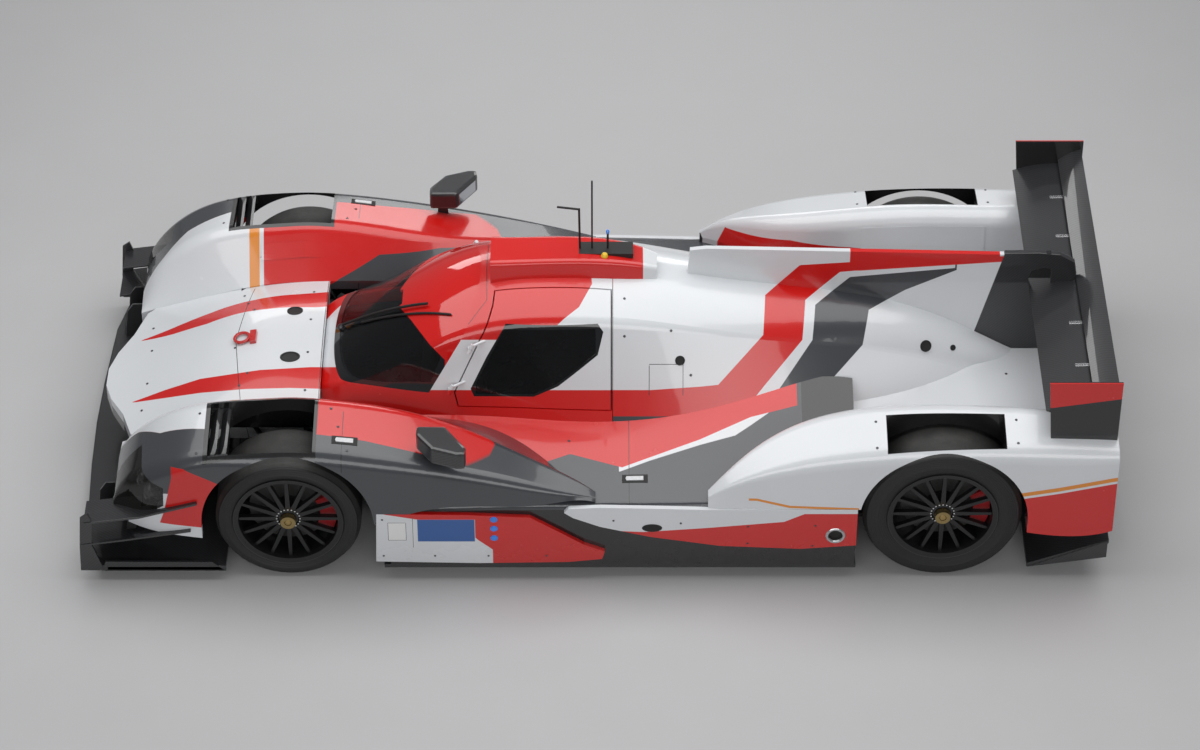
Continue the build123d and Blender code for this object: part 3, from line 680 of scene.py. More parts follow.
def tyre_finish(tyre_r):
    """The finish of a tyre of this radius."""
    def build(tree, bsdf, where, radius, off):
        tread = calc(tree, "GREATER_THAN", radius, tyre_r - 0.012)
        grain = noise(tree, where, 90.0, 5.0)
        pick_up = noise(tree, where, 14.0, 4.0)
        side_color = mix_color(tree, grain, (0.008, 0.008, 0.008), (0.020, 0.020, 0.020))
        tread_color = mix_color(tree, pick_up, (0.012, 0.012, 0.012), (0.050, 0.048, 0.045))
        moulded = calc(tree, "MULTIPLY", calc(tree, "SUBTRACT", 1.0, tread), 0.35)
        rings = calc(tree, "MULTIPLY", calc(tree, "SINE", calc(tree, "MULTIPLY", radius, 700.0)), moulded)
        height = calc(tree, "ADD", rings, calc(tree, "MULTIPLY", grain, calc(tree, "MULTIPLY_ADD", tread, 1.5, 0.3)))
        feed(
            tree, bsdf, Base_Color=mix_color(tree, tread, side_color, tread_color),
            Roughness=calc(tree, "MULTIPLY_ADD", grain, 0.25, 0.45), Normal=bump(tree, height, 0.0012, 0.6),
        )
    return build


def rim_finish(tree, bsdf, where, radius, off):
    """Black rim with its lip, the nut and the brake disc that is part of the same node."""
    grain = noise(tree, where, 200.0, 2.0)
    color = mix_color(tree, grain, (0.006, 0.006, 0.007), (0.013, 0.013, 0.014))
    disc = calc(tree, "MULTIPLY", ring(tree, off, 0.80, 0.868), ring(tree, radius, 0.07, 0.19))
    score = calc(tree, "MULTIPLY_ADD", calc(tree, "SINE", calc(tree, "MULTIPLY", radius, 2600.0)), 0.5, 0.5)
    color = mix_color(tree, disc, color, mix_color(tree, score, (0.030, 0.029, 0.028), (0.055, 0.053, 0.050)))
    lip = calc(tree, "MULTIPLY", calc(tree, "GREATER_THAN", radius, 0.2445), calc(tree, "GREATER_THAN", off, 0.95))
    color = mix_color(tree, lip, color, (0.10, 0.10, 0.105))
    nut = calc(tree, "MULTIPLY", calc(tree, "LESS_THAN", radius, 0.0375), calc(tree, "GREATER_THAN", off, 0.946))
    color = mix_color(tree, nut, color, (0.36, 0.27, 0.12))
    shine = calc(tree, "MAXIMUM", calc(tree, "MULTIPLY", nut, 1.0), calc(tree, "MULTIPLY", lip, 0.9))
    rough = calc(tree, "MULTIPLY_ADD", disc, 0.3, 0.24)
    feed(
        tree, bsdf, Base_Color=color, Metallic=shine, Roughness=calc(tree, "MULTIPLY_ADD", grain, 0.12, rough),
        Normal=bump(tree, calc(tree, "MULTIPLY", grain, 0.5), 0.0003, 0.3),
    )


def upright_finish(tree, bsdf, where, radius, off):
    """Cast upright with its red caliper, which stands off the axle."""
    grain = noise(tree, where, 160.0, 3.0)
    caliper = calc(tree, "MULTIPLY", calc(tree, "GREATER_THAN", radius, 0.135), calc(tree, "GREATER_THAN", off, 0.80))
    body_color = mix_color(tree, grain, (0.05, 0.05, 0.052), (0.11, 0.11, 0.115))
    feed(
        tree, bsdf, Base_Color=mix_color(tree, caliper, body_color, (0.30, 0.012, 0.015)),
        Metallic=calc(tree, "SUBTRACT", 1.0, caliper), Roughness=calc(tree, "MULTIPLY_ADD", grain, 0.2, 0.35),
        Normal=bump(tree, grain, 0.0005, 0.4),
    )


axles = {"front": axle_of("front_tyre_left"), "rear": axle_of("rear_tyre_left")}
for end, axle in axles.items():
    dress(round_material(end + "_tyre_rubber", axle, tyre_finish(axle[1])), *both_sides(end + "_tyre"))
    dress(round_material(end + "_rim_black", axle, rim_finish), *both_sides(end + "_rim"))
dress(round_material("front_upright_metal", axles["front"], upright_finish), *both_sides("front_knuckle"))
dress(round_material("rear_upright_metal", axles["rear"], upright_finish), "rear_uprights")
print("axles", axles)

# %% [markdown]
# ## Fittings
# Latches, caps, screws and lamps break up the smooth skin of the real car and give the eye its scale. Most of them are
# turned or stamped, so two helpers make them: one turns a profile about an axis, the other thickens an outline and
# bevels its rim. Most pieces are placed by dropping a ray onto the CAD surface, so that they sit on what carries them.
# Each is a closed mesh with its object at the origin, and it rides on its body.


# %% Turned and flat shapes
def turned(profile, steps=32):
    """A closed shape turned about local Z from (radius, height) points that start and end on the axis."""
    shape = bmesh.new()
    turn = [2 * math.pi * k / steps for k in range(steps)]
    rings = []
    for radius, height in profile:
        if radius < 1e-6:
            rings.append([shape.verts.new((0, 0, height))])
        else:
            rings.append([shape.verts.new((radius * math.cos(a), radius * math.sin(a), height)) for a in turn])
    for low_ring, high_ring in zip(rings, rings[1:]):
        for k in range(steps):
            around = ((low_ring, k), (low_ring, k + 1), (high_ring, k + 1), (high_ring, k))
            corners = list(dict.fromkeys(loop[i % len(loop)] for loop, i in around))
            if len(corners) > 2:
                shape.faces.new(corners)
    bmesh.ops.recalc_face_normals(shape, faces=shape.faces)
    return shape


def slab(corners, thickness, bevel):
    """A flat plate with a bevelled top: corners (x, y) about local Z, from z 0 up to thickness."""
    shape = bmesh.new()
    low = [shape.verts.new((x, y, 0)) for x, y in corners]
    high = [shape.verts.new((x, y, thickness)) for x, y in corners]
    shape.faces.new(list(reversed(low)))
    shape.faces.new(high)
    for k in range(len(corners)):
        after = (k + 1) % len(corners)
        shape.faces.new((low[k], low[after], high[after], high[k]))
    bmesh.ops.recalc_face_normals(shape, faces=shape.faces)
    top_edges = [e for e in shape.edges if all(v.co.z > thickness * 0.5 for v in e.verts)]
    bmesh.ops.bevel(shape, geom=top_edges, offset=bevel, segments=2, affect="EDGES", profile=0.6)
    return shape


def oblong(width, height):
    """The corners of a rectangle about the middle."""
    return [(-width / 2, -height / 2), (width / 2, -height / 2), (width / 2, height / 2), (-width / 2, height / 2)]


# %% [markdown]
# ### Where a fitting sits
# A fitting belongs on the skin, and the skin is curved. Its height could be typed in, but then it would float or sink
# at the next change of the body. So a ray is dropped at the wanted X and Y, and the point and normal that it meets give
# a matrix whose Z stands on the surface. Each piece then gets its finish and the body that carries it.

# %% Places and pieces
SIDES = ((1, "left"), (-1, "right"))
DOWN = (0, 0, -1)
made = {}  # panels made below, which rays meet as they meet the CAD nodes


def hit(names, start, direction):
    """The first point and normal that a ray meets on some nodes or on the panels made here."""
    best = None
    for name in names:
        found, spot, normal, _ = made.get(name, nodes.get(name)).ray_cast(Vector(start), Vector(direction))
        if found and (best is None or (spot - Vector(start)).length < (best[0] - Vector(start)).length):
            best = (spot, normal)
    return best


def seat_on(spot, normal, forward=(1, 0, 0), sink=0.0):
    """A matrix whose Z is the surface's normal and whose X points as near forward as it can."""
    z = normal.normalized()
    x = (Vector(forward) - z * z.dot(Vector(forward))).normalized()
    matrix = Matrix((x, z.cross(x), z)).transposed().to_4x4()
    matrix.translation = spot - z * sink
    return matrix


def as_mesh(name, shape):
    """The shape as mesh data; the shape itself is used up."""
    data = bpy.data.meshes.new(name)
    shape.to_mesh(data)
    shape.free()
    return data


def link_piece(name, data, mat, body):
    """Mesh data as a piece of the car, in its finish and riding on its body."""
    data.materials.clear()
    data.materials.append(mat)
    piece = bpy.data.objects.new(name, data)
    bpy.context.scene.collection.objects.link(piece)
    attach(piece, body)
    return piece


def add_piece(name, shape, mat, place=None, body="car"):
    """A shape as a piece of the car, moved to its place first."""
    if place is not None:
        bmesh.ops.transform(shape, matrix=place, verts=shape.verts)
    return link_piece(name, as_mesh(name, shape), mat, body)


# %% [markdown]
# ### Repeats with Geometry Nodes
# Screws, hub dots, side lights and lamp projectors repeat one small shape. Copying it in a loop would work, but a tree
# says the rule once: an instance on each point, turned to the direction that the point carries. Realize Instances makes
# the copies real, because the export drops instances, and the result is read back as a plain mesh.


# %% Repeat a shape on points
def repeat(name, shape, places, mat, body="car"):
    """One piece made of copies of a shape, at points with their normals."""
    points = bpy.data.meshes.new(name + "_points")
    points.from_pydata([tuple(spot) for spot, normal in places], [], [])
    facing = points.attributes.new("facing", "FLOAT_VECTOR", "POINT")
    for k, (spot, normal) in enumerate(places):
        facing.data[k].vector = normal
    source = bpy.data.objects.new(name + "_prototype", as_mesh(name + "_prototype", shape))

    group = bpy.data.node_groups.new(name + "_repeat", "GeometryNodeTree")
    group.interface.new_socket("Points", in_out="INPUT", socket_type="NodeSocketGeometry")
    source_socket = group.interface.new_socket("Prototype", in_out="INPUT", socket_type="NodeSocketObject")
    group.interface.new_socket("Result", in_out="OUTPUT", socket_type="NodeSocketGeometry")
    given, result = group.nodes.new("NodeGroupInput"), group.nodes.new("NodeGroupOutput")
    info = group.nodes.new("GeometryNodeObjectInfo")
    attribute = group.nodes.new("GeometryNodeInputNamedAttribute")
    attribute.data_type = "FLOAT_VECTOR"
    attribute.inputs["Name"].default_value = "facing"
    align = group.nodes.new("FunctionNodeAlignRotationToVector")
    align.axis = "Z"
    instance = group.nodes.new("GeometryNodeInstanceOnPoints")
    realize = group.nodes.new("GeometryNodeRealizeInstances")
    finish = group.nodes.new("GeometryNodeSetMaterial")
    finish.inputs["Material"].default_value = mat
    for start, output, end, target in (
        (given, "Points", instance, "Points"), (given, "Prototype", info, "Object"),
        (info, "Geometry", instance, "Instance"), (attribute, "Attribute", align, "Vector"),
        (align, "Rotation", instance, "Rotation"), (instance, "Instances", realize, "Geometry"),
        (realize, "Geometry", finish, "Geometry"), (finish, "Geometry", result, "Result"),
    ):
        group.links.new(start.outputs[output], end.inputs[target])

    carrier = bpy.data.objects.new(name + "_carrier", points)
    bpy.context.scene.collection.objects.link(carrier)
    modifier = carrier.modifiers.new("repeat", "NODES")
    modifier.node_group = group
    modifier[source_socket.identifier] = source
    bpy.context.view_layer.update()
    data = bpy.data.meshes.new_from_object(carrier.evaluated_get(bpy.context.evaluated_depsgraph_get()))
    bpy.data.objects.remove(carrier)
    bpy.data.objects.remove(source)
    return link_piece(name, data, mat, body)


# %% [markdown]
# ### Panels cut to their outlines
# The splitter, the flank panels, the mirror shells, the neck of the wing and the corner blades are flat carbon
# mouldings whose character is their outline. Each is a list of corners in millimetres, drawn from the side or from
# above and pushed out to its thickness. A small bevel all round catches the light as a real trimmed rim does. The
# flank panel is then bored for the exhaust with a Boolean, because a round hole in an outline would need a seam.


# %% Plates from outlines
MM = 0.001
MIRROR = Matrix.Scale(-1, 4, (0, 1, 0))


def plate(outline, low, high, from_side=True, bevel=1.2):
    """A closed plate from corners in millimetres: (x, z) pushed along Y, or (x, y) pushed along Z."""
    shape = bmesh.new()

    def row(c):
        return [shape.verts.new(Vector((a, c, b) if from_side else (a, b, c)) * MM) for a, b in outline]

    near, far = row(high), row(low)
    shape.faces.new(near)
    shape.faces.new(list(reversed(far)))
    for k in range(len(near)):
        shape.faces.new((near[k], far[k], far[k - 1], near[k - 1]))
    bmesh.ops.recalc_face_normals(shape, faces=shape.faces)
    bmesh.ops.bevel(shape, geom=shape.edges[:], offset=bevel * MM, segments=2, affect="EDGES", profile=0.6)
    return shape


def on_both_sides(shapes, middle=()):
    """One shape with some shapes and their mirror images, and with the middle ones once."""
    whole = bmesh.new()
    for shape, paired in [(s, True) for s in shapes] + [(s, False) for s in middle]:
        data = as_mesh("part", shape)
        whole.from_mesh(data)
        if paired:
            data.transform(MIRROR)
            data.flip_normals()
            whole.from_mesh(data)
        bpy.data.meshes.remove(data)
    return whole


def bored(shape, cutter):
    """The closed shape with the cutter's shape taken out of it."""
    pair = [bpy.data.objects.new("bore", as_mesh("bore", s)) for s in (shape, cutter)]
    for item in pair:
        bpy.context.scene.collection.objects.link(item)
    modifier = pair[0].modifiers.new("bore", "BOOLEAN")
    modifier.object, modifier.operation, modifier.solver = pair[1], "DIFFERENCE", "EXACT"
    bpy.context.view_layer.update()
    data = bpy.data.meshes.new_from_object(pair[0].evaluated_get(bpy.context.evaluated_depsgraph_get()))
    for item in pair:
        bpy.data.objects.remove(item)
    result = bmesh.new()
    result.from_mesh(data)
    return result


# %% [markdown]
# ### Splitter and corner blades
# The splitter is the flat carbon shelf under the nose. Its plan is drawn once for the left half and mirrored, so that
# both halves agree, and the fences, the corner plates and the foot plates stand on it. The blades on the corners are
# thin bent strips. Each is an outline from the side, and its front part runs further inboard.

# %% Splitter and corner blades
PLAN_HALF = [(1640, 0), (1640, 620), (1642, 1000), (2180, 1000), (2235, 985), (2296, 700), (2318, 300), (2325, 0)]
FENCE = [(2248, 80), (2230, 240), (2200, 285), (2067, 290), (2060, 80)]
CORNER_PLATE = [(2296, 60), (2290, 200), (2275, 372), (2240, 398), (2222, 345), (2235, 215), (2190, 60)]
FOOT_PLATE = [(2200, 60), (2180, 115), (1700, 112), (1642, 60)]
STAY = [(1640, 85), (1750, 85), (1750, 250), (1640, 250)]

plan = PLAN_HALF + [(x, -y) for x, y in reversed(PLAN_HALF[1:-1])]
uprights = [plate(FENCE, 646, 654), plate(FENCE, 779, 787), plate(CORNER_PLATE, 985, 997), plate(FOOT_PLATE, 988, 1000)]
flat = [plate(plan, 60, 90, from_side=False, bevel=6), plate(STAY, -300, 300)]
splitter = add_piece("splitter_plates", on_both_sides(uprights, flat), carbon)
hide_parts("front_splitter")

UPPER_BLADE = [(2262, 338), (2262, 347), (2010, 383), (1752, 462), (1748, 452), (2010, 373)]
LOWER_BLADE = [(2284, 208), (2284, 217), (2085, 249), (1787, 303), (1785, 293), (2085, 239)]
UPPER_TIP = [(2262, 338), (2262, 347), (2010, 383), (2010, 373)]
LOWER_TIP = [(2284, 208), (2284, 217), (2085, 249), (2085, 239)]
blades = [plate(UPPER_BLADE, 930, 1000), plate(LOWER_BLADE, 930, 1000)]
blades += [plate(UPPER_TIP, 850, 932), plate(LOWER_TIP, 800, 932)]
add_piece("corner_blades", on_both_sides(blades), carbon)
print("splitter with", len(splitter.data.polygons), "faces, and two blades on each corner")

# %% [markdown]
# ### Flank panels
# Two panels close the side below the door and ahead of the rear wheel, with a slanting gap between them that lets air
# out. Their slanting edges are what the side is known by, so both outlines are drawn corner by corner. The rays for
# screws and lights have to meet these panels instead of the plain ones of the solids, so they go into `made`.

# %% Flank panels
FRONT_PANEL = [
    (965, 115), (955, 396), (761, 396), (560, 393), (272, 378), (139, 289), (30, 215), (-62, 175), (-50, 130),
    (100, 112), (500, 105),
]
REAR_PANEL = [
    (120, 405), (100, 430), (-40, 437), (-260, 432), (-520, 424.5), (-1186, 424.5), (-1186, 212), (-936, 191),
    (-577, 209), (-263, 263), (-40, 323), (80, 375),
]
EXHAUST_X, EXHAUST_Z, EXHAUST_R = -1.091, 0.270, 0.0446

cutter = turned([(0.0, -0.06), (EXHAUST_R, -0.06), (EXHAUST_R, 0.06), (0.0, 0.06)], 48)
cutter_place = seat_on(Vector((EXHAUST_X, 0.99, EXHAUST_Z)), Vector((0, 1, 0)))
bmesh.ops.transform(cutter, matrix=cutter_place, verts=cutter.verts)
panels = [plate(FRONT_PANEL, 976, 998), bored(plate(REAR_PANEL, 976, 998), cutter)]
flank_piece = add_piece("flank_plates", on_both_sides(panels), flank_paint)
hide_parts("flank_panels")
made["flank_panels"] = flank_piece
print("flank panels with", len(flank_piece.data.polygons), "faces")

# %% [markdown]
# ### Inner skins of the fenders
# A fender's inner side slopes down to the body, and on the real car it is closed. The round wheel well of the solids
# comes through that slope in a thin arc. A sheet just off the slope closes it. Its corners follow the same stations
# that the fender is lofted through, so it lies on the skin and takes the fender's own paint.

# %% Inner skins
FRONT_SLOPE = [(1620, 470, 528, 630, 765), (1352, 470, 560, 635, 785), (1050, 470, 566, 640, 755)]
REAR_SLOPE = [(-1200, 630, 540, 680, 790), (-1568, 630, 540, 680, 812), (-1900, 630, 540, 690, 800)]
SHEET_LIFT = 2.4
SHEET_STEPS_ALONG, SHEET_STEPS_UP = 16, 4


def slope_sheet(stations, front, back, low, high):
    """A thin closed sheet on a slope, from back to front in millimetres and from low to high as shares of its height.

    A station is (x, foot y, foot z, top y, top z).
    """
    def skin(x, share):
        ahead, behind = next((a, b) for a, b in zip(stations, stations[1:]) if b[0] <= x <= a[0])
        gone, span = ahead[0] - x, ahead[0] - behind[0]
        y0, z0, y1, z1 = (p + (q - p) * gone / span for p, q in zip(ahead[1:], behind[1:]))
        lift = Vector((0, z0 - z1, y1 - y0)).normalized() * SHEET_LIFT
        return (Vector((x, y0 + (y1 - y0) * share, z0 + (z1 - z0) * share)) + lift) * MM

    shape = bmesh.new()
    xs = [back + (front - back) * i / SHEET_STEPS_ALONG for i in range(SHEET_STEPS_ALONG + 1)]
    shares = [low + (high - low) * j / SHEET_STEPS_UP for j in range(SHEET_STEPS_UP + 1)]
    grid = [[shape.verts.new(skin(x, share)) for share in shares] for x in xs]
    for column, following in zip(grid, grid[1:]):
        for j in range(SHEET_STEPS_UP):
            shape.faces.new((column[j], following[j], following[j + 1], column[j + 1]))
    bmesh.ops.recalc_face_normals(shape, faces=shape.faces)
    bmesh.ops.solidify(shape, geom=shape.faces[:], thickness=0.0018)
    return shape


front_sheet = on_both_sides([slope_sheet(FRONT_SLOPE, 1556, 1148, 0.42, 0.70)])
rear_sheet = on_both_sides([slope_sheet(REAR_SLOPE, -1276, -1860, 0.18, 0.745)])
add_piece("front_inner_skins", front_sheet, fender_paint)
add_piece("rear_inner_skins", rear_sheet, rear_paint)
print("inner skins on", len(FRONT_SLOPE), "and", len(REAR_SLOPE), "stations")

# %% [markdown]
# ### Wing neck, mirror shells and towing eye
# The wing hangs from a dark neck that grows out of the fin and hooks over the top of the blade, so that the air under
# the wing stays clean. The mirrors are wedge-shaped pods on a thin arm. The towing eye is a steel ring, painted red so
# that a marshal finds it, and it is turned from a closed loop because it never meets its axis.

# %% Neck, mirrors and towing eye
NECK_SIDE = [
    (-1873, 1101), (-1742, 574), (-2106, 460), (-2077, 703), (-1987, 954), (-2002, 1002), (-2054, 1019), (-2087, 1012),
    (-2090, 925), (-2190, 925), (-2206, 986), (-2194, 1052), (-2126, 1093), (-2027, 1103),
]
neck = add_piece("wing_neck", on_both_sides((), [plate(NECK_SIDE, -13.5, 13.5, bevel=3)]), carbon)
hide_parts("wing_pylon")

MIRROR_PLAN = [(643, 852), (546, 1000), (552, 1044), (590, 1045), (700, 1005), (772, 905), (770, 852)]
MIRROR_ARM = [(680, 600), (735, 600), (735, 712), (690, 712)]
shells = [plate(MIRROR_PLAN, 700, 790, from_side=False, bevel=14), plate(MIRROR_ARM, 885, 899, bevel=3)]
mirror_shells = add_piece("mirror_shells", on_both_sides(shells), carbon)
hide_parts("mirrors")


def hoop(profile, steps=40):
    """A closed ring turned about local Z from a closed loop of (radius, height) points off the axis."""
    shape = bmesh.new()
    turn = [2 * math.pi * k / steps for k in range(steps)]
    loops = [[shape.verts.new((r * math.cos(a), r * math.sin(a), h)) for r, h in profile] for a in turn]
    for k in range(steps):
        for j in range(len(profile)):
            shape.faces.new((loops[k - 1][j - 1], loops[k][j - 1], loops[k][j], loops[k - 1][j]))
    bmesh.ops.recalc_face_normals(shape, faces=shape.faces)
    return shape


tow_red = speckled("tow_red", (0.50, 0.012, 0.010), 0.3, coat=0.8, scale=90)
TOW_HOLE_R, TOW_OUTER_R, TOW_EDGE = 0.028, 0.041, 0.0025
tow_loop = [
    (TOW_HOLE_R, -0.004), (TOW_HOLE_R, 0.004), (TOW_HOLE_R + TOW_EDGE, 0.006), (TOW_OUTER_R - TOW_EDGE, 0.006),
    (TOW_OUTER_R, 0.004), (TOW_OUTER_R, -0.004), (TOW_OUTER_R - TOW_EDGE, -0.006), (TOW_HOLE_R + TOW_EDGE, -0.006),
]
tow_ring = hoop(tow_loop)
bmesh.ops.translate(tow_ring, vec=(0.030, 0, 0.012), verts=tow_ring.verts)
tow_block = plate([(-38, -3), (-8, -3), (-8, 18), (-38, 18)], -41, 41)
tow_spot, tow_normal = hit(["nose"], (1.580, 0.0, 2.0), DOWN)
add_piece("towing_eye", on_both_sides((), [tow_ring, tow_block]), tow_red, seat_on(tow_spot, tow_normal))
print("towing eye seated at", tuple(round(v, 3) for v in tow_spot))

# %% [markdown]
# ### Fasteners and caps
# Quarter-turn screws hold the panels, and caps cover the fillers. A screw is a few millimetres across, so a turned
# profile of seven points is enough: its dished head and its rim are what shows from a metre away.

# %% Fasteners
SCREW = [
    (0.0, -0.001), (0.0062, -0.001), (0.0062, 0.0012), (0.005, 0.002), (0.0028, 0.002), (0.0022, 0.0008),
    (0.0, 0.0008),
]
FLANK_SCREW_SCALE = 0.8
TOP_SCREWS = {  # (x, y) on each node
    "nose": [
        (1.571, 0.232), (1.605, 0.30), (1.63, 0.385), (1.640, 0.05), (1.30, 0.12), (1.30, 0.36), (2.05, 0.12),
        (2.06, 0.30),
    ],
    "front_fender_left": [(1.120, 0.80), (1.075, 0.93), (1.155, 0.70), (1.74, 0.70), (1.74, 0.93)],
    "cockpit_cell": [(0.42, 0.10), (0.44, 0.27), (0.24, 0.22)],
    "engine_cover": [(-0.15, 0.20), (-0.15, 0.33), (-0.36, 0.30), (-0.45, 0.39), (-1.90, 0.20), (-1.90, 0.45)],
    "rear_fender_left": [(-1.26, 0.80), (-1.26, 0.94), (-1.88, 0.80), (-1.88, 0.93)],
    "sidepods": [(0.10, 0.60), (0.30, 0.70), (-0.90, 0.60)],
}
FLANK_SCREWS = [  # (x, z)
    (0.93, 0.15), (0.70, 0.15), (0.46, 0.15), (0.20, 0.15), (0.93, 0.365), (-0.10, 0.36), (-0.40, 0.345),
    (-0.70, 0.325), (-0.70, 0.225), (-1.00, 0.33), (-0.99, 0.21),
]


def with_mirror_images(found):
    """The points that rays met, each with its mirror image on the right."""
    flip = Vector((1, -1, 1))
    return [place for met in found if met for place in (met, (met[0] * flip, met[1] * flip))]


top_hits = [hit([name], (x, y, 2.0), DOWN) for name, spots in TOP_SCREWS.items() for x, y in spots]
top_places = with_mirror_images(top_hits)
flank_hits = [hit(["flank_panels"], (x, 1.5, z), (0, -1, 0)) for x, z in FLANK_SCREWS]
flank_places = with_mirror_images(flank_hits)
small_screw = [(r * FLANK_SCREW_SCALE, h * FLANK_SCREW_SCALE) for r, h in SCREW]
repeat("body_fasteners", turned(SCREW, 16), top_places, steel)
repeat("flank_fasteners", turned(small_screw, 16), flank_places, steel)
print(len(top_places), "and", len(flank_places), "fasteners")

# %% [markdown]
# ### Caps
# Round covers close the fillers and the inspection holes. They share one profile, and a scale along and across makes
# the long ones of the nose and the small ones of the engine cover from it.

# %% Caps
CAP = [(0, -0.004), (0.034, -0.004), (0.034, 0.002), (0.0315, 0.0042), (0.028, 0.0036), (0.0265, 0.0008), (0, 0)]
CAPS = [  # name, node, x, y, scale across, scale along
    ("nose_cover_left", "nose", 1.380, 0.150, 1.0, 1.35),
    ("nose_cover_right", "nose", 1.378, -0.192, 1.0, 1.1),
    ("cover_hole_front", "engine_cover", -0.401, 0.361, 0.66, 0.66),
    ("cover_hole_mid", "engine_cover", -1.528, 0.156, 0.8, 0.8),
    ("cover_hole_rear", "engine_cover", -1.656, 0.126, 0.4, 0.4),
]

for name, node, x, y, across, along in CAPS:
    spot, normal = hit([node], (x, y, 2.0), DOWN)
    place = seat_on(spot, normal) @ Matrix.Diagonal((along, across, 1.0, 1.0))
    add_piece(name, turned(CAP, 40), matt_black, place)
print(len(CAPS), "caps")

# %% [markdown]
# ### Latches, side lights, exhausts and lamps
# A latch is a lever in a flush frame, so it is two slabs, one a little above the other. Three blue lights in a column
# show the car's place in the race at night. The exhaust ends in a polished rim with soot inside, which needs a real
# depth, so its profile goes down the bore and back up outside. Behind each dark corner glass stand three projectors,
# each a barrel with a domed lens. All of these come from outlines and profiles in short tables.

# %% Latches, lights and exhausts
LEVER = [(-0.038, -0.012), (0.038, -0.012), (0.042, 0.0), (0.038, 0.012), (-0.038, 0.012)]
LENS = [(0.0, -0.003), (0.016875, -0.003), (0.016875, 0.001), (0.0125, 0.0035), (0.00625, 0.0048), (0.0, 0.005)]
PIPE = [
    (0.0, -0.020), (0.030, -0.020), (0.030, -0.002), (0.033, 0.0035), (0.041, 0.0040), (0.0445, 0.001),
    (0.0445, -0.014), (0.0445, -0.024), (0.0, -0.024),
]
SOOT_DISC = [(0.0, -0.0195), (0.0298, -0.0195), (0.0298, -0.017), (0.0, -0.0175)]
OVAL = [(0.0, -0.002), (0.030, -0.002), (0.030, 0.0015), (0.027, 0.003), (0.024, 0.002), (0.022, 0.0005), (0.0, 0.0)]
BARREL = [
    (0.0, -0.055), (0.036, -0.055), (0.040, 0.0), (0.036, 0.004), (0.033, -0.004), (0.024, 0.006), (0.012, 0.013),
    (0.0, 0.015),
]
LIGHT_X, LIGHT_HEIGHTS = 0.433, (0.366, 0.313, 0.257)
PROJECTORS = ((1.975, 0.905, 0.455), (2.015, 0.810, 0.455), (1.900, 0.925, 0.535))

for sign, tag in SIDES:
    latches = (("fender_latch", "front_fender_" + tag, 1.088, 0.875), ("pod_latch", "sidepods", -0.196, 0.826))
    for label, node, x, y in latches:
        spot, normal = hit([node], (x, sign * y, 2.0), DOWN)
        base = seat_on(spot, normal, sink=0.003)
        add_piece(f"{label}_frame_{tag}", slab(oblong(0.115, 0.046), 0.005, 0.002), matt_black, base)
        lever_place = base @ Matrix.Translation((0, 0, 0.004))
        add_piece(f"{label}_lever_{tag}", slab(LEVER, 0.005, 0.0015), white_plastic, lever_place)
    out = Vector((0, sign, 0))
    lights = [hit(["flank_panels"], (LIGHT_X, sign * 1.5, z), -out) for z in LIGHT_HEIGHTS]
    repeat("flank_lights_" + tag, turned(LENS, 24), [met for met in lights if met], blue_light)
    exhaust = seat_on(Vector((EXHAUST_X, sign * 0.9975, EXHAUST_Z)), out)
    add_piece("exhaust_tip_" + tag, turned(PIPE, 48), bright_metal, exhaust)
    add_piece("exhaust_soot_" + tag, turned(SOOT_DISC, 32), soot, exhaust)
    oval_place = seat_on(Vector((-0.272, sign * 0.998, 0.317)), out) @ Matrix.Diagonal((1.5, 0.75, 1, 1))
    add_piece("flank_oval_" + tag, turned(OVAL, 36), matt_black, oval_place)

for sign, tag in SIDES:
    aim = Vector((0.88, sign * 0.30, 0.36)).normalized()
    spots = [(Vector((x, sign * y, z)), aim) for x, y, z in PROJECTORS]
    repeat("lamp_projectors_" + tag, turned(BARREL, 28), spots, bright_metal)
print("two latches,", len(LIGHT_HEIGHTS), "side lights and", len(PROJECTORS), "projectors on each side")

# %% [markdown]
# ### Wheel details
# A ring of pale dots marks the hub, so that the crew sees the wheel turn, and the single wheel nut has a cap in its
# end. Both turn with the wheel, so they ride on the wheel's body.

# %% Hub dots and nut caps
NUT_DOT = [(0.0, -0.001), (0.0035, -0.001), (0.0035, 0.0005), (0.0022, 0.0014), (0.0, 0.0016)]
NUT_CAP = [(0.0, -0.010), (0.0155, -0.010), (0.0155, -0.002), (0.013, 0.0005), (0.006, 0.0012), (0.0, 0.001)]
DOT_COUNT, DOT_RING_R = 20, 0.052

for end, (ax, az) in axles.items():
    for sign, tag in SIDES:
        out = Vector((0, sign, 0))
        wheel = f"{end}_wheel_{tag}"
        dots = []
        for k in range(DOT_COUNT):
            angle = 2 * math.pi * k / DOT_COUNT
            start = (ax + DOT_RING_R * math.cos(angle), sign * 1.3, az + DOT_RING_R * math.sin(angle))
            met = hit([f"{end}_rim_{tag}"], start, -out)
            if met:
                dots.append((met[0], out))
        repeat(f"{end}_hub_dots_{tag}", turned(NUT_DOT, 12), dots, white_plastic, wheel)
        face = seat_on(Vector((ax, sign * 0.9735, az)), out)
        add_piece(f"{end}_nut_cap_{tag}", turned(NUT_CAP, 24), bronze, face, wheel)
print("hub dots and nut caps on four wheels")

# %% [markdown]
# ### Wiper, mirror glass, wing brackets and roof gear
# The wiper lies on the curved screen from its spindle at the base, so its points are dropped onto the glass and lifted
# a little along the normal. A bar is then run through them, with each ring turned from the last so that it never
# twists. A Curve with a bevel would do the same, but its ends and its count of faces are harder to steer.


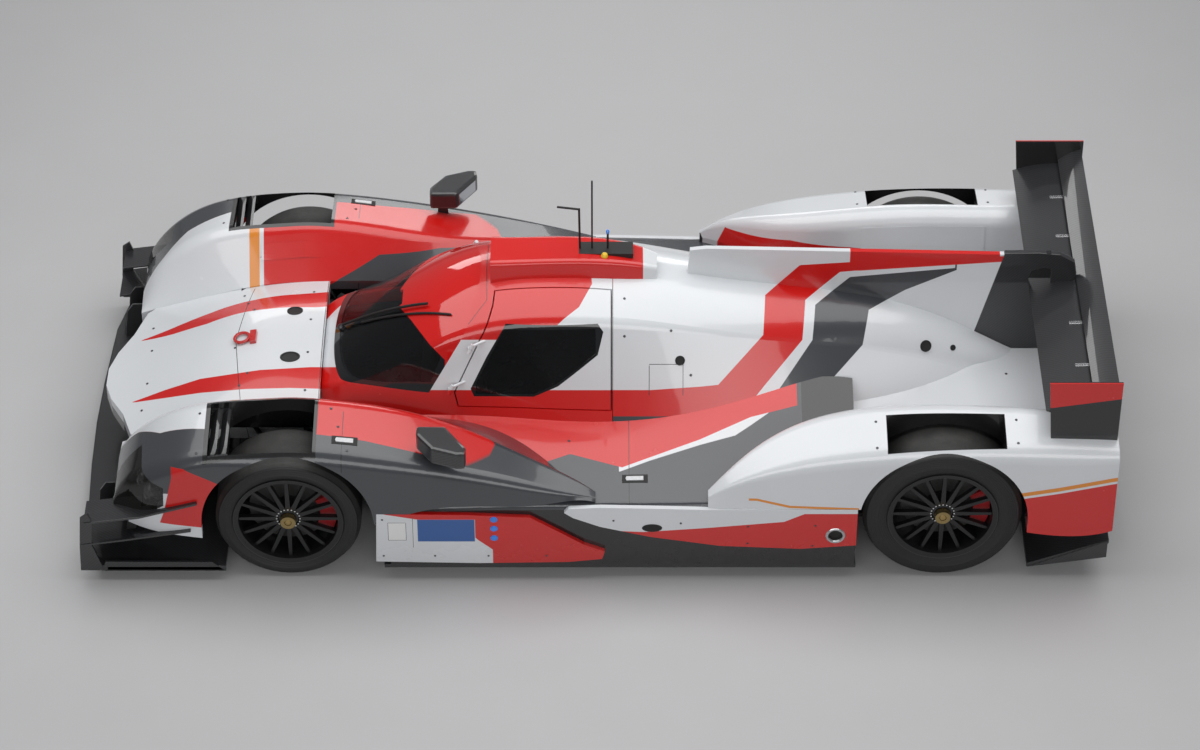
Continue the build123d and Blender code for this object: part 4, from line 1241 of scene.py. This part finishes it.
# %% Wiper
def bar_along(points, radius, steps=10):
    """A closed round bar through points."""
    shape = bmesh.new()
    turn = [2 * math.pi * j / steps for j in range(steps)]
    rings = []
    for k, point in enumerate(points):
        run = (points[min(k + 1, len(points) - 1)] - points[max(k - 1, 0)]).normalized()
        u = run.orthogonal().normalized() if k == 0 else (u - run * u.dot(run)).normalized()
        w = run.cross(u)
        rings.append([shape.verts.new(point + radius * (math.cos(a) * u + math.sin(a) * w)) for a in turn])
    for a, b in zip(rings, rings[1:]):
        for j in range(steps):
            shape.faces.new((a[j], a[(j + 1) % steps], b[(j + 1) % steps], b[j]))
    shape.faces.new(list(reversed(rings[0])))
    shape.faces.new(rings[-1])
    bmesh.ops.recalc_face_normals(shape, faces=shape.faces)
    return shape


def over_screen(start, reach, lift, count):
    """Points from start (x, y) over the screen, lifted off it."""
    points = []
    for k in range(count):
        t = k / (count - 1)
        above = (start[0] + reach[0] * t, start[1] + reach[1] * t, 2.0)
        spot, normal = hit(["windscreen", "cockpit_cell"], above, DOWN)
        points.append(spot + normal * lift)
    return points


SPINDLE = [(0.0, -0.004), (0.017, -0.004), (0.017, 0.010), (0.012, 0.020), (0.0, 0.022)]
add_piece("wiper_arm", bar_along(over_screen((1.135, -0.02), (-0.40, 0.16), 0.016, 13), 0.0065), matt_black)
add_piece("wiper_blade", bar_along(over_screen((1.05, 0.035), (-0.42, 0.20), 0.006, 15), 0.0055), grip)
hub_spot, hub_normal = hit(["windscreen", "cockpit_cell", "nose"], (1.15, -0.025, 2.0), DOWN)
add_piece("wiper_spindle", turned(SPINDLE, 24), steel, seat_on(hub_spot, hub_normal))
print("wiper spindle at", tuple(round(v, 3) for v in hub_spot))

# %% [markdown]
# ### Mirror glass and wing brackets
# The glass is a thin slab on the back of each shell, turned to the shell's slant by a matrix made from two of its
# corners. Four small metal brackets lie on the wing, and a ray from above seats each of them.

# %% Mirror glass and wing brackets
MIRROR_INNER, MIRROR_OUTER, MIRROR_Z = (0.640, 0.856), (0.549, 0.996), 0.745
BRACKET = [(-0.020, -0.010), (0.075, -0.010), (0.095, 0.0), (0.075, 0.010), (-0.020, 0.010)]
mirror_glass = speckled("mirror_glass", (0.55, 0.57, 0.60), 0.12, 1.0, scale=20, spread=0.05)

for sign, tag in SIDES:
    inner, outer = (Vector((x, sign * y, MIRROR_Z)) for x, y in (MIRROR_INNER, MIRROR_OUTER))
    run, up = (outer - inner).normalized(), Vector((0, 0, 1))
    back = up.cross(run) * sign
    glass_place = Matrix((run * -sign, up, back)).transposed().to_4x4()
    glass_place.translation = (inner + outer) / 2 - back * 0.001
    add_piece("mirror_glass_" + tag, slab(oblong(0.136, 0.060), 0.003, 0.001), mirror_glass, glass_place)
    for y in (0.32, 0.62):
        spot, normal = hit(["rear_wing"], (-2.165, sign * y, 1.3), DOWN)
        name, bracket = f"wing_bracket_{round(y * 100)}_{tag}", slab(BRACKET, 0.006, 0.001)
        add_piece(name, bracket, bright_metal, seat_on(spot, normal, (-1, 0, 0.35), 0.002))
print("mirror glass and wing brackets")

# %% [markdown]
# ### Roof gear
# Behind the scoop's mouth stand a round knob and a short aerial with a blue tip. They are only a few centimetres high,
# but they stand out from the plain roof, so each gets a turned profile.

# %% Roof gear
KNOB = [(0.0, -0.004), (0.016, -0.004), (0.016, 0.006), (0.011, 0.016), (0.0, 0.018)]
AERIAL_TIP = [(0.0, 0.0), (0.007, 0.0), (0.008, 0.012), (0.004, 0.020), (0.0, 0.021)]
AERIAL_HEIGHTS = (-0.004, 0.03, 0.06, 0.085)

knob_spot, knob_normal = hit(["roof_scoop", "aerials"], (-0.06, 0.055, 2.0), DOWN)
add_piece("roof_knob", turned(KNOB, 28), yellow_knob, seat_on(knob_spot, knob_normal))
aerial_foot = hit(["aerials", "roof_scoop"], (-0.075, 0.0, 2.0), DOWN)[0]
stem = bar_along([aerial_foot + Vector((0, 0, z)) for z in AERIAL_HEIGHTS], 0.005)
add_piece("small_aerial", stem, matt_black)
tip_place = Matrix.Translation(aerial_foot + Vector((0, 0, AERIAL_HEIGHTS[-1] - 0.002)))
add_piece("small_aerial_tip", turned(AERIAL_TIP, 16), blue_light, tip_place)
print("roof gear at", tuple(round(v, 3) for v in aerial_foot))

# %% [markdown]
# ## Studio
# Gloss paint shows its surroundings more than itself, so the lamps are shaped for their reflections. One wide, weak
# light above gives the long soft highlights on the shoulders without bleaching the red, and a strip on each side draws
# a line along the flanks. A plain pale floor carries the shadow.


# %% Floor and lights
def area_light(name, place, aim, width, depth, watts):
    """A rectangular lamp at a place, turned to its aim."""
    data = bpy.data.lights.new(name, "AREA")
    data.shape = "RECTANGLE"
    data.size, data.size_y, data.energy = width, depth, watts
    lamp = bpy.data.objects.new(name, data)
    bpy.context.scene.collection.objects.link(lamp)
    lamp.location = place
    lamp.rotation_euler = (Vector(aim) - Vector(place)).to_track_quat("-Z", "Y").to_euler()


FLOOR_HALF = 30
floor_data = bpy.data.meshes.new("floor")
floor_corners = [(x * FLOOR_HALF, y * FLOOR_HALF, 0) for x, y in ((-1, -1), (1, -1), (1, 1), (-1, 1))]
floor_data.from_pydata(floor_corners, [], [(0, 1, 2, 3)])
floor_data.materials.append(speckled("floor_pale", (0.50, 0.50, 0.505), 0.6, scale=3.0, depth=0.0002, spread=0.03))
studio_floor = bpy.data.objects.new("studio_floor", floor_data)
bpy.context.scene.collection.objects.link(studio_floor)

area_light("top_softbox", (0, -0.4, 5.4), (0, 0, 0), 10.0, 5.0, 340)
area_light("near_strip", (0, 6.5, 3.6), (0, 0, 0.4), 9.0, 2.4, 170)
area_light("far_strip", (0, -6.0, 3.0), (0, 0, 0.4), 7.0, 1.2, 80)

world = bpy.data.worlds.new("studio")
bpy.context.scene.world = world
world.use_nodes = True
feed(world.node_tree, world.node_tree.nodes["Background"], Color=(0.5, 0.5, 0.52), Strength=0.35)
bpy.context.scene.view_settings.view_transform = "Standard"
print("studio ready")

# %% [markdown]
# ## Sizes
# The dressed car should fill the same box as its solids.
